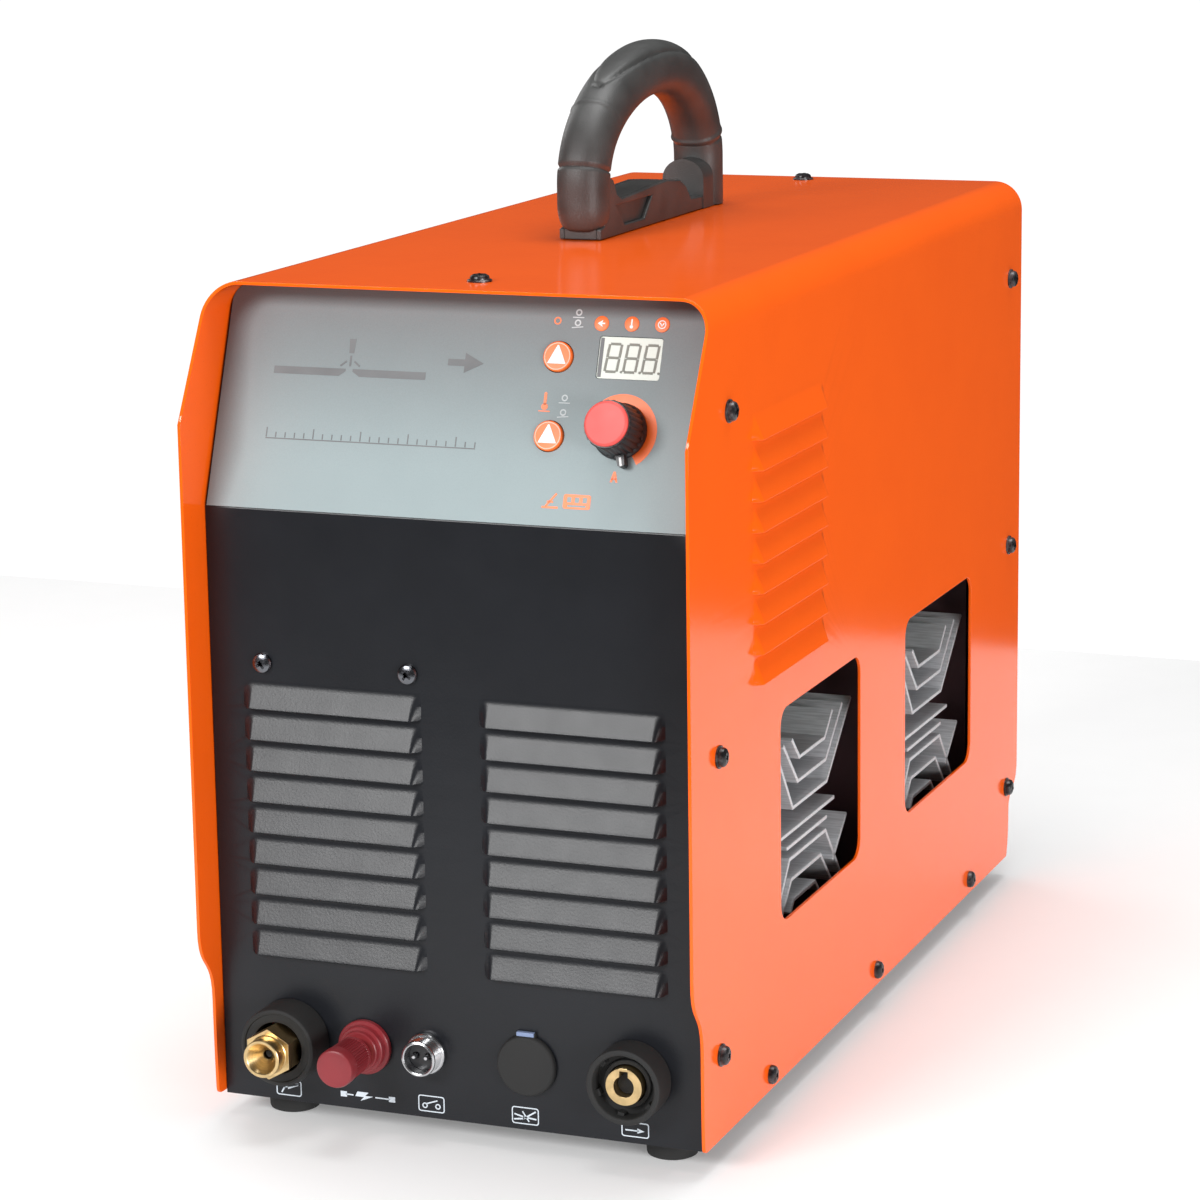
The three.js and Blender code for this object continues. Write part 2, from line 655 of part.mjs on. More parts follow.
// Each line is one bent plate of the extrusion, in depth and height: three nested troughs above a solid core, and
// three nested roofs below it. A web set back from the ends joins them.
const sinkPlates = [
  [[-48, 151], [-24, 118], [27, 118], [65, 151]],
  [[-37, 151], [-16, 129], [26, 129], [52, 151]],
  [[-24, 151], [-13, 140], [25, 140], [37, 151]],
  [[-52, 67], [-29, 94], [25, 94], [48, 67]],
  [[-42, 67], [-26, 83.5], [18, 83.5], [34, 67]],
  [[-27, 67], [-22, 72.5], [10, 72.5], [15.5, 67]],
];
const sinkCore = [[-26, 118], [27, 118], [18, 114], [39, 107], [31, 103], [26, 94], [-29, 94], [-34, 103], [-42, 107],
  [-20, 114]];

function heatSink() {
  const shapes = [outline(sinkCore), finOutline([36, 76], [58, 94])];
  for (const plate of sinkPlates) {
    for (let k = 0; k < 3; k += 1) shapes.push(finOutline(plate[k], plate[k + 1]));
  }
  const web = block([sinkX[0], -4, 66.5], [sinkX[1] - 26, 4, 151]);
  return join(web, ...shapes.map((shape) => alongX(shape, ...sinkX)));
}

const sink = heatSink();
for (const [row, centreY] of [['front', 186], ['rear', 380]]) {
  const right = moved(sink, 0, centreY, 0);
  piece(`heat_sink_${row}_right`, right, aluminium);
  piece(`heat_sink_${row}_left`, mirroredX(right), aluminium);
}

// ---------- inside: duct plate, power board, magnetics ----------

const plateX = 12;

function airDuct() {
  const channel = outline([[-plateX - 2, 60], [plateX + 2, 60], [plateX + 2, 200], [plateX, 200], [plateX, 62],
    [-plateX, 62], [-plateX, 200], [-plateX - 2, 200]]);
  return alongY(channel, 110, 455);
}

piece('air_duct', airDuct(), steel);

const boardLevel = 206;
const board = block([-104, 104, boardLevel], [104, 440, boardLevel + 2]);
piece('main_board', board, boardGreen);
for (const [label, y] of [['front', 200], ['rear', 250]]) {
  const can = turned([[0, boardLevel + 2.3], [17, boardLevel + 2.3], [17.5, boardLevel + 4], [17.5, boardLevel + 46],
    [16.5, boardLevel + 47.5], [0, boardLevel + 47.5]], 'z', [-60, y, 0], 18);
  piece(`capacitor_${label}`, can, blueSleeve);
}

function transformerCore() {
  const outer = block([-34, -19, 0], [34, 19, 68]);
  const windows = [-1, 1].map((side) => block([side * 16 - 9, -30, 13], [side * 16 + 9, 30, 55]));
  return moved(cut(outer, ...windows), 48, 330, boardLevel + 2.3);
}

function transformerWinding() {
  const coil = alongZ(roundedRectangle(49, 60, 8), 13.4, 54.6, 3);
  const leg = block([-7.4, -19.4, 0], [7.4, 19.4, 70]);
  return moved(cut(coil, leg), 48, 330, boardLevel + 2.3);
}

piece('transformer_core', transformerCore(), castAlloy);
piece('transformer_winding', transformerWinding(), yellowTape);

piece('output_choke', moved(tube(28, 13, -14, 14, 'z', [0, 0, 0], 20), 52, 228, boardLevel + 17), copperWinding);

// ---------- inside: air pump with its motor, head and cooling fan on one shaft ----------

const pumpX = -50;
const pumpZ = 36;

function compressorMotor() {
  const can = rod(27, 300, 384, 'y', [pumpX, 0, pumpZ], 20);
  const feet = block([pumpX - 24, 306, 2.4], [pumpX + 24, 378, 12]);
  const shaftHole = rod(4.2, 290, 330, 'y', [pumpX, 0, pumpZ], 12);
  return cut(join(can, feet), shaftHole);
}

piece('compressor_motor', compressorMotor(), blackPaint);

function compressorHead() {
  const crankcase = rod(24, 384.3, 424, 'y', [pumpX, 0, pumpZ], 20);
  const cylinder = block([10, 392, pumpZ - 14], [42, 416, pumpZ + 14]);
  const barrel = rod(13, pumpX, 12, 'x', [0, 404, pumpZ], 12);
  const fins = [-20, -11, -2].map((x) => rod(17, x, x + 3, 'x', [0, 404, pumpZ], 12));
  return join(crankcase, barrel, cylinder, ...fins);
}

piece('compressor_head', compressorHead(), castAlloy);

function compressorFan() {
  const shaft = rod(3.8, 282, 329, 'y', [0, 0, 0], 12);
  const hub = rod(8, 284, 292, 'y', [0, 0, 0], 12);
  const blades = [];
  for (let k = 0; k < 6; k += 1) {
    blades.push(moved(block([6, -0.9, -6], [25, 0.9, 6]).rotate([30, 0, 0]), 0, 288, 0).rotate([0, k * 60, 0]));
  }
  return moved(join(shaft, hub, ...blades), pumpX, 0, pumpZ);
}

piece('compressor_fan', compressorFan(), blackPlastic);

function solenoidValve() {
  const body = block([-96, 100, 2.4], [-70, 126, 22]);
  const coil = block([-94, 102, 21], [-72, 124, 48]);
  const inlet = rod(4, 126, 136, 'y', [-83, 0, 14], 10);
  return join(body, coil, inlet);
}

piece('solenoid_valve', solenoidValve(), brass);

// The air hose runs along the floor from the pump's head to the valve, held at both ends.
function airHose() {
  const route = new THREE.CatmullRomCurve3([[26, 391.6, 14], [26, 370, 14], [24, 320, 10], [0, 250, 8], [-40, 190, 8],
    [-78, 165, 10], [-83, 150, 14], [-83, 136.4, 14]].map((p) => new THREE.Vector3(...p)));
  const section = new THREE.Shape();
  section.absarc(0, 0, 4, 0, Math.PI * 2);
  return solid(new THREE.ExtrudeGeometry(section, { steps: 24, curveSegments: 4, extrudePath: route }));
}

piece('air_hose', airHose(), airHoseBlue);

export default machine;
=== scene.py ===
"""Dresses a plasma cutting machine around its fixed frame, for a studio picture.

The machine's frame holds every part at its real size and place. This script keeps that frame, gives its
plain nodes a finish, and models the visible sheet metal, plastics, connectors and trim finely in their place.
Pieces are modelled in millimetres on planes of the cabinet, and are brought to metres when they are done.
"""

from __future__ import annotations

import logging
import math
from collections.abc import Callable, Iterable, Sequence
from dataclasses import dataclass, field
from enum import Enum

import bmesh
import bpy
from mathutils import Matrix, Vector

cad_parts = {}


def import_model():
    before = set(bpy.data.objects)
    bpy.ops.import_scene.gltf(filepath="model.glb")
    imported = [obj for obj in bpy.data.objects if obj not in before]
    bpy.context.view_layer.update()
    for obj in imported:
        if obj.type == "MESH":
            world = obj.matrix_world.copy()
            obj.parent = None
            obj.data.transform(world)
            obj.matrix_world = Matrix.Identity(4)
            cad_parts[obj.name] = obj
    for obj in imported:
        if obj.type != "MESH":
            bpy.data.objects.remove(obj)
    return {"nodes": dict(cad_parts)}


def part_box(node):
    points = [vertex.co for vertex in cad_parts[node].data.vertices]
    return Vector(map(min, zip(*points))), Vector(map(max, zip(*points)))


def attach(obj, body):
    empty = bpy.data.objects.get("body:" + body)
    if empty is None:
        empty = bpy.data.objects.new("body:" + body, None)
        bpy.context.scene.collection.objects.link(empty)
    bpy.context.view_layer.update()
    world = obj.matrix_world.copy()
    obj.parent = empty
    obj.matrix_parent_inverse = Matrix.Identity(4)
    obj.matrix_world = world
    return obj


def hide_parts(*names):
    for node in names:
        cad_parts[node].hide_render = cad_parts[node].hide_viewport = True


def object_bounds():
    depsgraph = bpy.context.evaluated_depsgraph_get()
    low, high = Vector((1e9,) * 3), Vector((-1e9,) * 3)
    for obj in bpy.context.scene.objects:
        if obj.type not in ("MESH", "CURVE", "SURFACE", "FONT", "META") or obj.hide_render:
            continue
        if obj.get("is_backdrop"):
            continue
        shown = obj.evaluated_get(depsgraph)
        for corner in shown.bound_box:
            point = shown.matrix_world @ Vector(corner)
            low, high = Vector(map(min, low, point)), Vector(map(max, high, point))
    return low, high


LOG = logging.getLogger("plasma_cutter")
MM = 0.001
FULL_TURN = 2 * math.pi
Point2 = tuple[float, float]
Colour = tuple[float, float, float]


# ---------------------------------------------------------------- shader maths


class Value:
    """A number in a shader, which takes part in Python arithmetic."""

    def __init__(self, tree: "Tree", socket: bpy.types.NodeSocket) -> None:
        """Wraps one output socket of a tree."""
        self.tree = tree
        self.socket = socket

    def _math(self, operation: str, left: "Value | float", right: "Value | float") -> "Value":
        """Adds a Math node for one operation on two numbers."""
        return self.tree.value("ShaderNodeMath", {"operation": operation}, {0: left, 1: right})

    def __add__(self, other: "Value | float") -> "Value":
        """Sum."""
        return self._math("ADD", self, other)

    __radd__ = __add__

    def __sub__(self, other: "Value | float") -> "Value":
        """Difference."""
        return self._math("SUBTRACT", self, other)

    def __rsub__(self, other: "Value | float") -> "Value":
        """Difference, with the number on the left."""
        return self._math("SUBTRACT", other, self)

    def __mul__(self, other: "Value | float") -> "Value":
        """Product."""
        return self._math("MULTIPLY", self, other)

    __rmul__ = __mul__

    def between(self, low: float, high: float) -> "Value":
        """Rises smoothly from 0 at low to 1 at high, and stays within them."""
        limits = {"Value": self, "From Min": low, "From Max": high}
        return self.tree.value("ShaderNodeMapRange", {"interpolation_type": "SMOOTHSTEP"}, limits)


class Tree:
    """One material's node tree, with a single way to add a node."""

    def __init__(self, name: str) -> None:
        """Starts a material with an empty tree.

        Args:
            name: The material's name.
        """
        self.material = bpy.data.materials.new(name)
        self.material.use_nodes = True
        self.nodes = self.material.node_tree.nodes
        self.nodes.clear()

    def node(self, kind: str, settings: dict | None = None, sockets: dict | None = None) -> bpy.types.Node:
        """Adds a node.

        Args:
            kind: The node's type.
            settings: Attributes that are set before any socket.
            sockets: Socket names or numbers, with the value or the link of each.

        Returns:
            The new node.
        """
        made = self.nodes.new(kind)
        for attribute, setting in (settings or {}).items():
            setattr(made, attribute, setting)
        for key, given in (sockets or {}).items():
            target = made.inputs[key]
            source = given.socket if isinstance(given, Value) else given
            if isinstance(source, bpy.types.NodeSocket):
                self.material.node_tree.links.new(source, target)
            else:
                target.default_value = source
        return made

    def value(self, kind: str, settings: dict | None, sockets: dict, output: int | str = 0) -> Value:
        """Adds a node and wraps one of its outputs."""
        return Value(self, self.node(kind, settings, sockets).outputs[output])

    def coordinates(self, stretch: Sequence[float] = (1, 1, 1)) -> bpy.types.NodeSocket:
        """Adds the object's own coordinates, in metres.

        Args:
            stretch: How much each axis is stretched.

        Returns:
            The coordinates' socket.
        """
        own = self.node("ShaderNodeTexCoord").outputs["Object"]
        if tuple(stretch) == (1, 1, 1):
            return own
        return self.node("ShaderNodeMapping", None, {"Vector": own, "Scale": tuple(stretch)}).outputs[0]

    def noise(self, scale: float, detail: float = 3.0, stretch: Sequence[float] = (1, 1, 1)) -> Value:
        """Adds cloudy noise from 0 to 1, with scale clouds to the metre."""
        sockets = {"Vector": self.coordinates(stretch), "Scale": scale, "Detail": detail}
        return self.value("ShaderNodeTexNoise", None, sockets)

    def mix(self, factor: Value, first: Colour | Value, second: Colour | Value) -> Value:
        """Mixes two colours.

        Args:
            factor: The share of the second colour.
            first: The colour at 0.
            second: The colour at 1.

        Returns:
            The mixed colour.
        """
        ends = {0: factor}
        for key, end in ((6, first), (7, second)):
            ends[key] = end if isinstance(end, Value) else (*end, 1.0)
        return self.value("ShaderNodeMix", {"data_type": "RGBA"}, ends, 2)

    def bump(self, height: Value, strength: float, distance: float) -> bpy.types.NodeSocket:
        """Turns a height into a surface normal."""
        sockets = {"Height": height, "Strength": strength, "Distance": distance}
        return self.node("ShaderNodeBump", None, sockets).outputs["Normal"]

    def close(self, sockets: dict) -> bpy.types.Material:
        """Ends the tree in one Principled shader.

        Args:
            sockets: The shader's socket names, with the value or the link of each.

        Returns:
            The finished material.
        """
        shader = self.node("ShaderNodeBsdfPrincipled", None, sockets)
        self.node("ShaderNodeOutputMaterial", None, {"Surface": shader.outputs[0]})
        return self.material


def shade(colour: Colour, factor: float) -> Colour:
    """Returns a colour that is lighter or darker by a factor."""
    return tuple(min(1.0, part * factor) for part in colour)


# ---------------------------------------------------------------- finishes


@dataclass(frozen=True)
class Finish:
    """A moulded or painted surface with mottled colour, uneven gloss, fine grain and worn edges.

    Colour is linear. Scales are in clouds to the metre, and grain_height is in metres.
    """

    name: str
    slot: str
    colour: Colour
    roughness: float
    metallic: float = 0.0
    level: float = 0.5
    mottle: float = 0.07
    mottle_scale: float = 22.0
    scuff: float = 0.1
    scuff_scale: float = 70.0
    grain: float = 0.25
    grain_scale: float = 1500.0
    grain_height: float = 0.00012
    wear: float = 0.0
    wear_colour: Colour = (0.5, 0.5, 0.5)
    stretch: tuple[float, float, float] = (1.0, 1.0, 1.0)
    glow: float = 0.0

    def hue(self, tree: Tree) -> Value:
        """Returns the mottled base colour, with its worn edges."""
        cloud = tree.noise(self.mottle_scale, 4.0).between(0.3, 0.7)
        base = tree.mix(cloud, shade(self.colour, 1 - self.mottle), shade(self.colour, 1 + self.mottle))
        if not self.wear:
            return base
        edge = tree.value("ShaderNodeNewGeometry", None, {}, "Pointiness").between(0.515, 0.56)
        patchy = tree.noise(260.0, 5.0).between(0.42, 0.62)
        return tree.mix(edge * patchy * self.wear, base, self.wear_colour)

    def gloss(self, tree: Tree) -> Value:
        """Returns the uneven roughness."""
        smear = tree.noise(self.scuff_scale, 5.0, self.stretch)
        return self.roughness + (smear - 0.5) * (2 * self.scuff)

    def relief(self, tree: Tree) -> bpy.types.NodeSocket:
        """Returns the normal of the fine grain."""
        return tree.bump(tree.noise(self.grain_scale, 3.0, self.stretch), self.grain, self.grain_height)

    def material(self) -> bpy.types.Material:
        """Returns the finish's one material, made at its first use."""
        known = bpy.data.materials.get(self.name)
        if known:
            return known
        tree = Tree(self.name)
        sockets = {
            "Base Color": self.hue(tree),
            "Roughness": self.gloss(tree),
            "Metallic": self.metallic,
            "Specular IOR Level": self.level,
            "Normal": self.relief(tree),
        }
        if self.glow:
            sockets["Emission Color"] = (*self.colour, 1.0)
            sockets["Emission Strength"] = self.glow
        return tree.close(sockets)


@dataclass(frozen=True)
class PowderCoat(Finish):
    """Baked paint: a shallow orange-peel ripple on a faintly wavy sheet, with darker specks."""

    peel_scale: float = 420.0
    peel_height: float = 0.00006

    def relief(self, tree: Tree) -> bpy.types.NodeSocket:
        """Returns the normal of the orange peel, with a wide waviness of the sheet."""
        peel = tree.noise(self.peel_scale, 2.0) + tree.noise(9.0, 1.0) * 6.0
        return tree.bump(peel, self.grain, self.peel_height)

    def hue(self, tree: Tree) -> Value:
        """Returns the paint's colour with faint specks."""
        specks = tree.noise(900.0, 2.0).between(0.69, 0.75)
        return tree.mix(specks * 0.25, super().hue(tree), shade(self.colour, 0.6))


@dataclass(frozen=True)
class PrintedFilm(Finish):
    """A silvery printed film that darkens towards one end of its height, with painted shade towards both sides and a
    fine sparkle.
    """

    dark: Colour = (0.10, 0.105, 0.11)
    low: float = 0.30
    high: float = 0.38

    def hue(self, tree: Tree) -> Value:
        """Returns the film's colour, darker towards its top, with painted shade darkening both sides, and its grain.
        """
        split = tree.node("ShaderNodeSeparateXYZ", None, {0: tree.coordinates()})
        height = Value(tree, split.outputs["Z"])
        across = Value(tree, split.outputs["X"])
        rise = height.between(self.low, self.high)
        # painted shade: the film darkens towards both of its sides
        side = (across * across).between(0.007, 0.0150)
        sparkle = (tree.noise(1700.0, 2.0) - 0.5) * 0.22
        toned = tree.mix(rise * 0.75 + side * 0.3 + sparkle, self.colour, self.dark)
        return tree.mix(tree.noise(30.0, 3.0) * 0.03, toned, self.dark)


@dataclass(frozen=True)
class CutMetal(Finish):
    """Bare metal with tool lines along one direction and darker patches."""

    line_scale: float = 900.0

    def hue(self, tree: Tree) -> Value:
        """Returns the metal's colour with fine lines and stains."""
        lines = tree.noise(self.line_scale, 2.0, self.stretch).between(0.35, 0.65)
        stains = tree.noise(40.0, 5.0).between(0.45, 0.75)
        lined = tree.mix(lines, shade(self.colour, 0.86), shade(self.colour, 1.1))
        return tree.mix(stains * 0.3, lined, shade(self.colour, 0.62))


class Finishes(Enum):
    """Every finish on the machine."""

    ORANGE = PowderCoat("orange_powder_coat", "orange_paint", (1.0, 0.124, 0.005), 0.13, mottle=0.02, level=0.36,
                        scuff=0.02, grain=0.3)
    BLACK_PAINT = PowderCoat("black_powder_coat", "black_paint", (0.010, 0.011, 0.014), 0.33, mottle=0.08,
                             level=0.34, scuff=0.03, grain=0.6, peel_scale=900.0, peel_height=0.00008)
    FILM = PrintedFilm("printed_film", "overlay_print", (0.235, 0.295, 0.305), 0.46, metallic=0.05, grain=0.2,
                       scuff=0.015, grain_scale=2200.0)
    BLACK = Finish("black_moulding", "black_plastic", (0.019, 0.019, 0.021), 0.36, grain=0.35)
    # A near-black fill of painted shade, put deep in bores where only shade is seen.
    PAINTED_SHADE = Finish("painted_recess_shade", "black_plastic", (0.006, 0.006, 0.007), 0.7)
    FAN = Finish("fan_moulding", "fan_plastic", (0.02, 0.021, 0.024), 0.42, mottle=0.15)
    HANDLE = Finish("grained_handle", "handle_plastic", (0.050, 0.051, 0.050), 0.42, mottle=0.18, mottle_scale=45.0,
                    scuff=0.10, grain=0.8, grain_scale=1900.0, grain_height=0.00022)
    RUBBER = Finish("foot_rubber", "foot_rubber", (0.014, 0.014, 0.015), 0.75, mottle=0.2, grain=0.6)
    RED = Finish("red_moulding", "red_plastic", (0.22, 0.020, 0.026), 0.4, mottle=0.12, grain=0.45)
    SALMON = Finish("salmon_cap", "salmon_plastic", (0.72, 0.085, 0.075), 0.5, mottle=0.05, grain=0.3)
    SIGNAL = Finish("signal_orange", "orange_plastic", (0.95, 0.165, 0.018), 0.4, mottle=0.04)
    PALE = Finish("pale_ring", "orange_plastic", (0.95, 0.42, 0.28), 0.4)
    INK_WHITE = Finish("white_ink", "orange_plastic", (0.86, 0.87, 0.87), 0.5, mottle=0.03)
    INK_PALE = Finish("pale_ink", "overlay_print", (0.50, 0.54, 0.55), 0.5, mottle=0.03)
    INK_GREY = Finish("grey_ink", "overlay_print", (0.11, 0.115, 0.12), 0.45, mottle=0.05)
    LABEL = Finish("label_ink", "black_paint", (0.62, 0.68, 0.74), 0.5, mottle=0.05)
    TAB = Finish("blue_grey_tab", "black_plastic", (0.20, 0.26, 0.42), 0.4, mottle=0.08)
    LENS = Finish("display_lens", "display_lens", (0.11, 0.114, 0.1), 0.55, level=0.12, mottle=0.05,
                  grain=0.05)
    DIGIT = Finish("display_digit", "display_lens", (0.26, 0.27, 0.24), 0.5, level=0.12, mottle=0.02)
    BRASS = CutMetal("turned_brass", "brass", (0.74, 0.54, 0.27), 0.3, metallic=1.0, scuff=0.06,
                     stretch=(0.2, 6.0, 0.2), grain=0.15, grain_height=0.00003)
    DARK_PLATING = Finish("dark_plating", "chrome", (0.15, 0.155, 0.17), 0.24, metallic=1.0, scuff=0.05)
    CHROME = Finish("bright_plating", "chrome", (0.66, 0.67, 0.69), 0.22, metallic=1.0, scuff=0.07, grain=0.1,
                    mottle=0.1)
    BLACK_SCREW = Finish("black_oxide", "black_plastic", (0.016, 0.016, 0.018), 0.26, metallic=0.2, mottle=0.3,
                         wear=0.4, wear_colour=(0.2, 0.2, 0.21))
    ZINC = CutMetal("zinc_plating", "zinc_steel", (0.5, 0.52, 0.55), 0.36, metallic=1.0, stretch=(1.0, 0.1, 1.0))
    ALUMINIUM = CutMetal("extruded_aluminium", "aluminium", (0.62, 0.63, 0.65), 0.38, metallic=0.35, scuff=0.12,
                         stretch=(0.08, 1.0, 1.0), grain=0.5, grain_scale=900.0, grain_height=0.0001)
    # Dark maroon: the air duct darkened as painted shade, and the sheets of painted shade inside the side windows.
    DUCT = Finish("duct_and_shade_sheet", "zinc_steel", (0.085, 0.042, 0.047), 0.5, metallic=0.1, mottle=0.25)
    CAST = Finish("sand_cast_alloy", "cast_alloy", (0.36, 0.37, 0.38), 0.6, metallic=0.7, mottle=0.2, grain=0.9,
                  grain_scale=700.0, grain_height=0.0003)
    FERRITE = Finish("sintered_ferrite", "ferrite", (0.045, 0.045, 0.05), 0.55, mottle=0.2)
    BOARD = Finish("solder_mask", "circuit_board", (0.012, 0.11, 0.045), 0.35, mottle=0.25, mottle_scale=160.0)
    COPPER = CutMetal("enamelled_copper", "copper_wire", (0.55, 0.22, 0.08), 0.32, metallic=0.9,
                      stretch=(1.0, 1.0, 0.15))
    TAPE = Finish("polyester_tape", "yellow_tape", (0.75, 0.5, 0.04), 0.35, mottle=0.12)
    SLEEVE = Finish("capacitor_sleeve", "capacitor_sleeve", (0.02, 0.05, 0.15), 0.3, mottle=0.1)
    HOSE = Finish("hose_tube", "hose_tube", (0.03, 0.12, 0.4), 0.3, mottle=0.08)
    FLOOR = Finish("pale_floor", "overlay_print", (0.78, 0.78, 0.78), 0.8, mottle=0.005, grain=0.05, glow=0.24)


# ---------------------------------------------------------------- planes and pieces


@dataclass(frozen=True)
class Plane:
    """A flat place on the machine, in millimetres of the cabinet, seen from outside."""

    origin: Vector
    right: Vector
    up: Vector

    @property
    def out(self) -> Vector:
        """The direction that points out of the machine."""
        return self.right.cross(self.up)

    def matrix(self) -> Matrix:
        """Returns the matrix from the plane's own axes to the cabinet's."""
        turn = Matrix((self.right, self.up, self.out)).transposed().to_4x4()
        return Matrix.Translation(self.origin) @ turn

    def at(self, right: float, up: float, out: float = 0.0) -> "Plane":
        """Returns the same plane with its origin moved along its own axes."""
        return Plane(self.matrix() @ Vector((right, up, out)), self.right, self.up)


class Side(Enum):
    """The ways a plane of the cabinet can face, as its right and up directions."""

    FRONT = (Vector((1, 0, 0)), Vector((0, 0, 1)))
    BACK = (Vector((-1, 0, 0)), Vector((0, 0, 1)))
    RIGHT = (Vector((0, 1, 0)), Vector((0, 0, 1)))
    LEFT = (Vector((0, -1, 0)), Vector((0, 0, 1)))
    TOP = (Vector((1, 0, 0)), Vector((0, 1, 0)))
    BOTTOM = (Vector((1, 0, 0)), Vector((0, -1, 0)))


class Cabinet:
    """The cabinet's own millimetres: Y from the cover's front edge, Z from its bottom edge."""

    low: Vector = Vector((0, 0, 0))

    @classmethod
    def measure(cls) -> None:
        """Takes the cabinet's origin from the cover's box in the frame."""
        low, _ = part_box("cover")
        cls.low = Vector((0, low.y, low.z))

    @classmethod
    def metres(cls) -> Matrix:
        """Returns the matrix from cabinet millimetres to the frame's metres."""
        return Matrix.Translation(cls.low) @ Matrix.Scale(MM, 4)

    @classmethod
    def box(cls, node: str) -> tuple[Vector, Vector]:
        """Returns a node's lowest and highest corners in cabinet millimetres."""
        low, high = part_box(node)
        return (low - cls.low) / MM, (high - cls.low) / MM

    @classmethod
    def centre(cls, node: str) -> Vector:
        """Returns the middle of a node's box in cabinet millimetres."""
        low, high = cls.box(node)
        return (low + high) / 2

    @staticmethod
    def plane(side: Side, point: Sequence[float]) -> Plane:
        """Returns a plane through a point that faces one side."""
        right, up = side.value
        return Plane(Vector(point), right, up)


def circle(radius: float, centre: Point2 = (0, 0), sides: int = 32, start: float = 0.0) -> list[Point2]:
    """Returns the points of a circle or of a regular polygon."""
    turns = [start + FULL_TURN * k / sides for k in range(sides)]
    return [(centre[0] + radius * math.cos(a), centre[1] + radius * math.sin(a)) for a in turns]


def rounded(width: float, height: float, radius: float, centre: Point2 = (0, 0),
            steps: int = 5) -> list[Point2]:
    """Works out a rectangle with round corners.

    Args:
        width: The whole width.
        height: The whole height.
        radius: The corners' radius.
        centre: The rectangle's middle.
        steps: Straight steps in each corner.

    Returns:
        The points, in order.
    """
    points = []
    for quarter, (sx, sy) in enumerate(((1, -1), (1, 1), (-1, 1), (-1, -1))):
        corner = (centre[0] + sx * (width / 2 - radius), centre[1] + sy * (height / 2 - radius))
        for k in range(steps + 1):
            turn = math.pi / 2 * (quarter - 1 + k / steps)
            points.append((corner[0] + radius * math.cos(turn), corner[1] + radius * math.sin(turn)))
    return points


def curve(points: Sequence[Point2], steps: int) -> list[Point2]:
    """Works out a cubic Bezier curve, its start included and its end left out.

    Args:
        points: The curve's start, its two handles and its end.
        steps: How many points are made.

    Returns:
        The points, in order.
    """
    made = []
    for k in range(steps):
        t = k / steps
        weights = ((1 - t) ** 3, 3 * t * (1 - t) ** 2, 3 * t * t * (1 - t), t ** 3)
        made.append(tuple(sum(w * p[axis] for w, p in zip(weights, points)) for axis in (0, 1)))
    return made


def stepped(corners: Sequence[Point2], steps: int) -> list[Point2]:
    """Returns points at equal steps along each side of a closed outline."""
    made = []
    for (ax, ay), (bx, by) in zip(corners, [*corners[1:], corners[0]]):
        made += [(ax + (bx - ax) * k / steps, ay + (by - ay) * k / steps) for k in range(steps)]
    return made


def fill_loops(shape: bmesh.types.BMesh, loops: Iterable[Sequence[Point2]],
               place: Callable[[float, float], Sequence[float]]) -> None:
    """Fills the flat area between an outline and its holes.

    Args:
        shape: The mesh that takes the area.
        loops: The outline and the holes.
        place: Gives the place in space of a point of a loop.
    """
    edges = []
    for loop in loops:
        verts = [shape.verts.new(place(a, b)) for a, b in loop]
        edges += [shape.edges.new(pair) for pair in zip(verts, verts[1:] + verts[:1])]
    bmesh.ops.triangle_fill(shape, use_beauty=True, use_dissolve=False, edges=edges)


def weave(shape: bmesh.types.BMesh, rows: Sequence[Sequence[bmesh.types.BMVert]], closed: bool = False) -> None:
    """Joins each row of vertices to the next with four-sided faces.

    Args:
        shape: The mesh that takes the faces.
        rows: Rows of one length.
        closed: Whether each row goes all the way round.
    """
    for first, second in zip(rows, rows[1:]):
        for k in range(len(first) if closed else len(first) - 1):
            n = (k + 1) % len(first)
            shape.faces.new((first[k], first[n], second[n], second[k]))


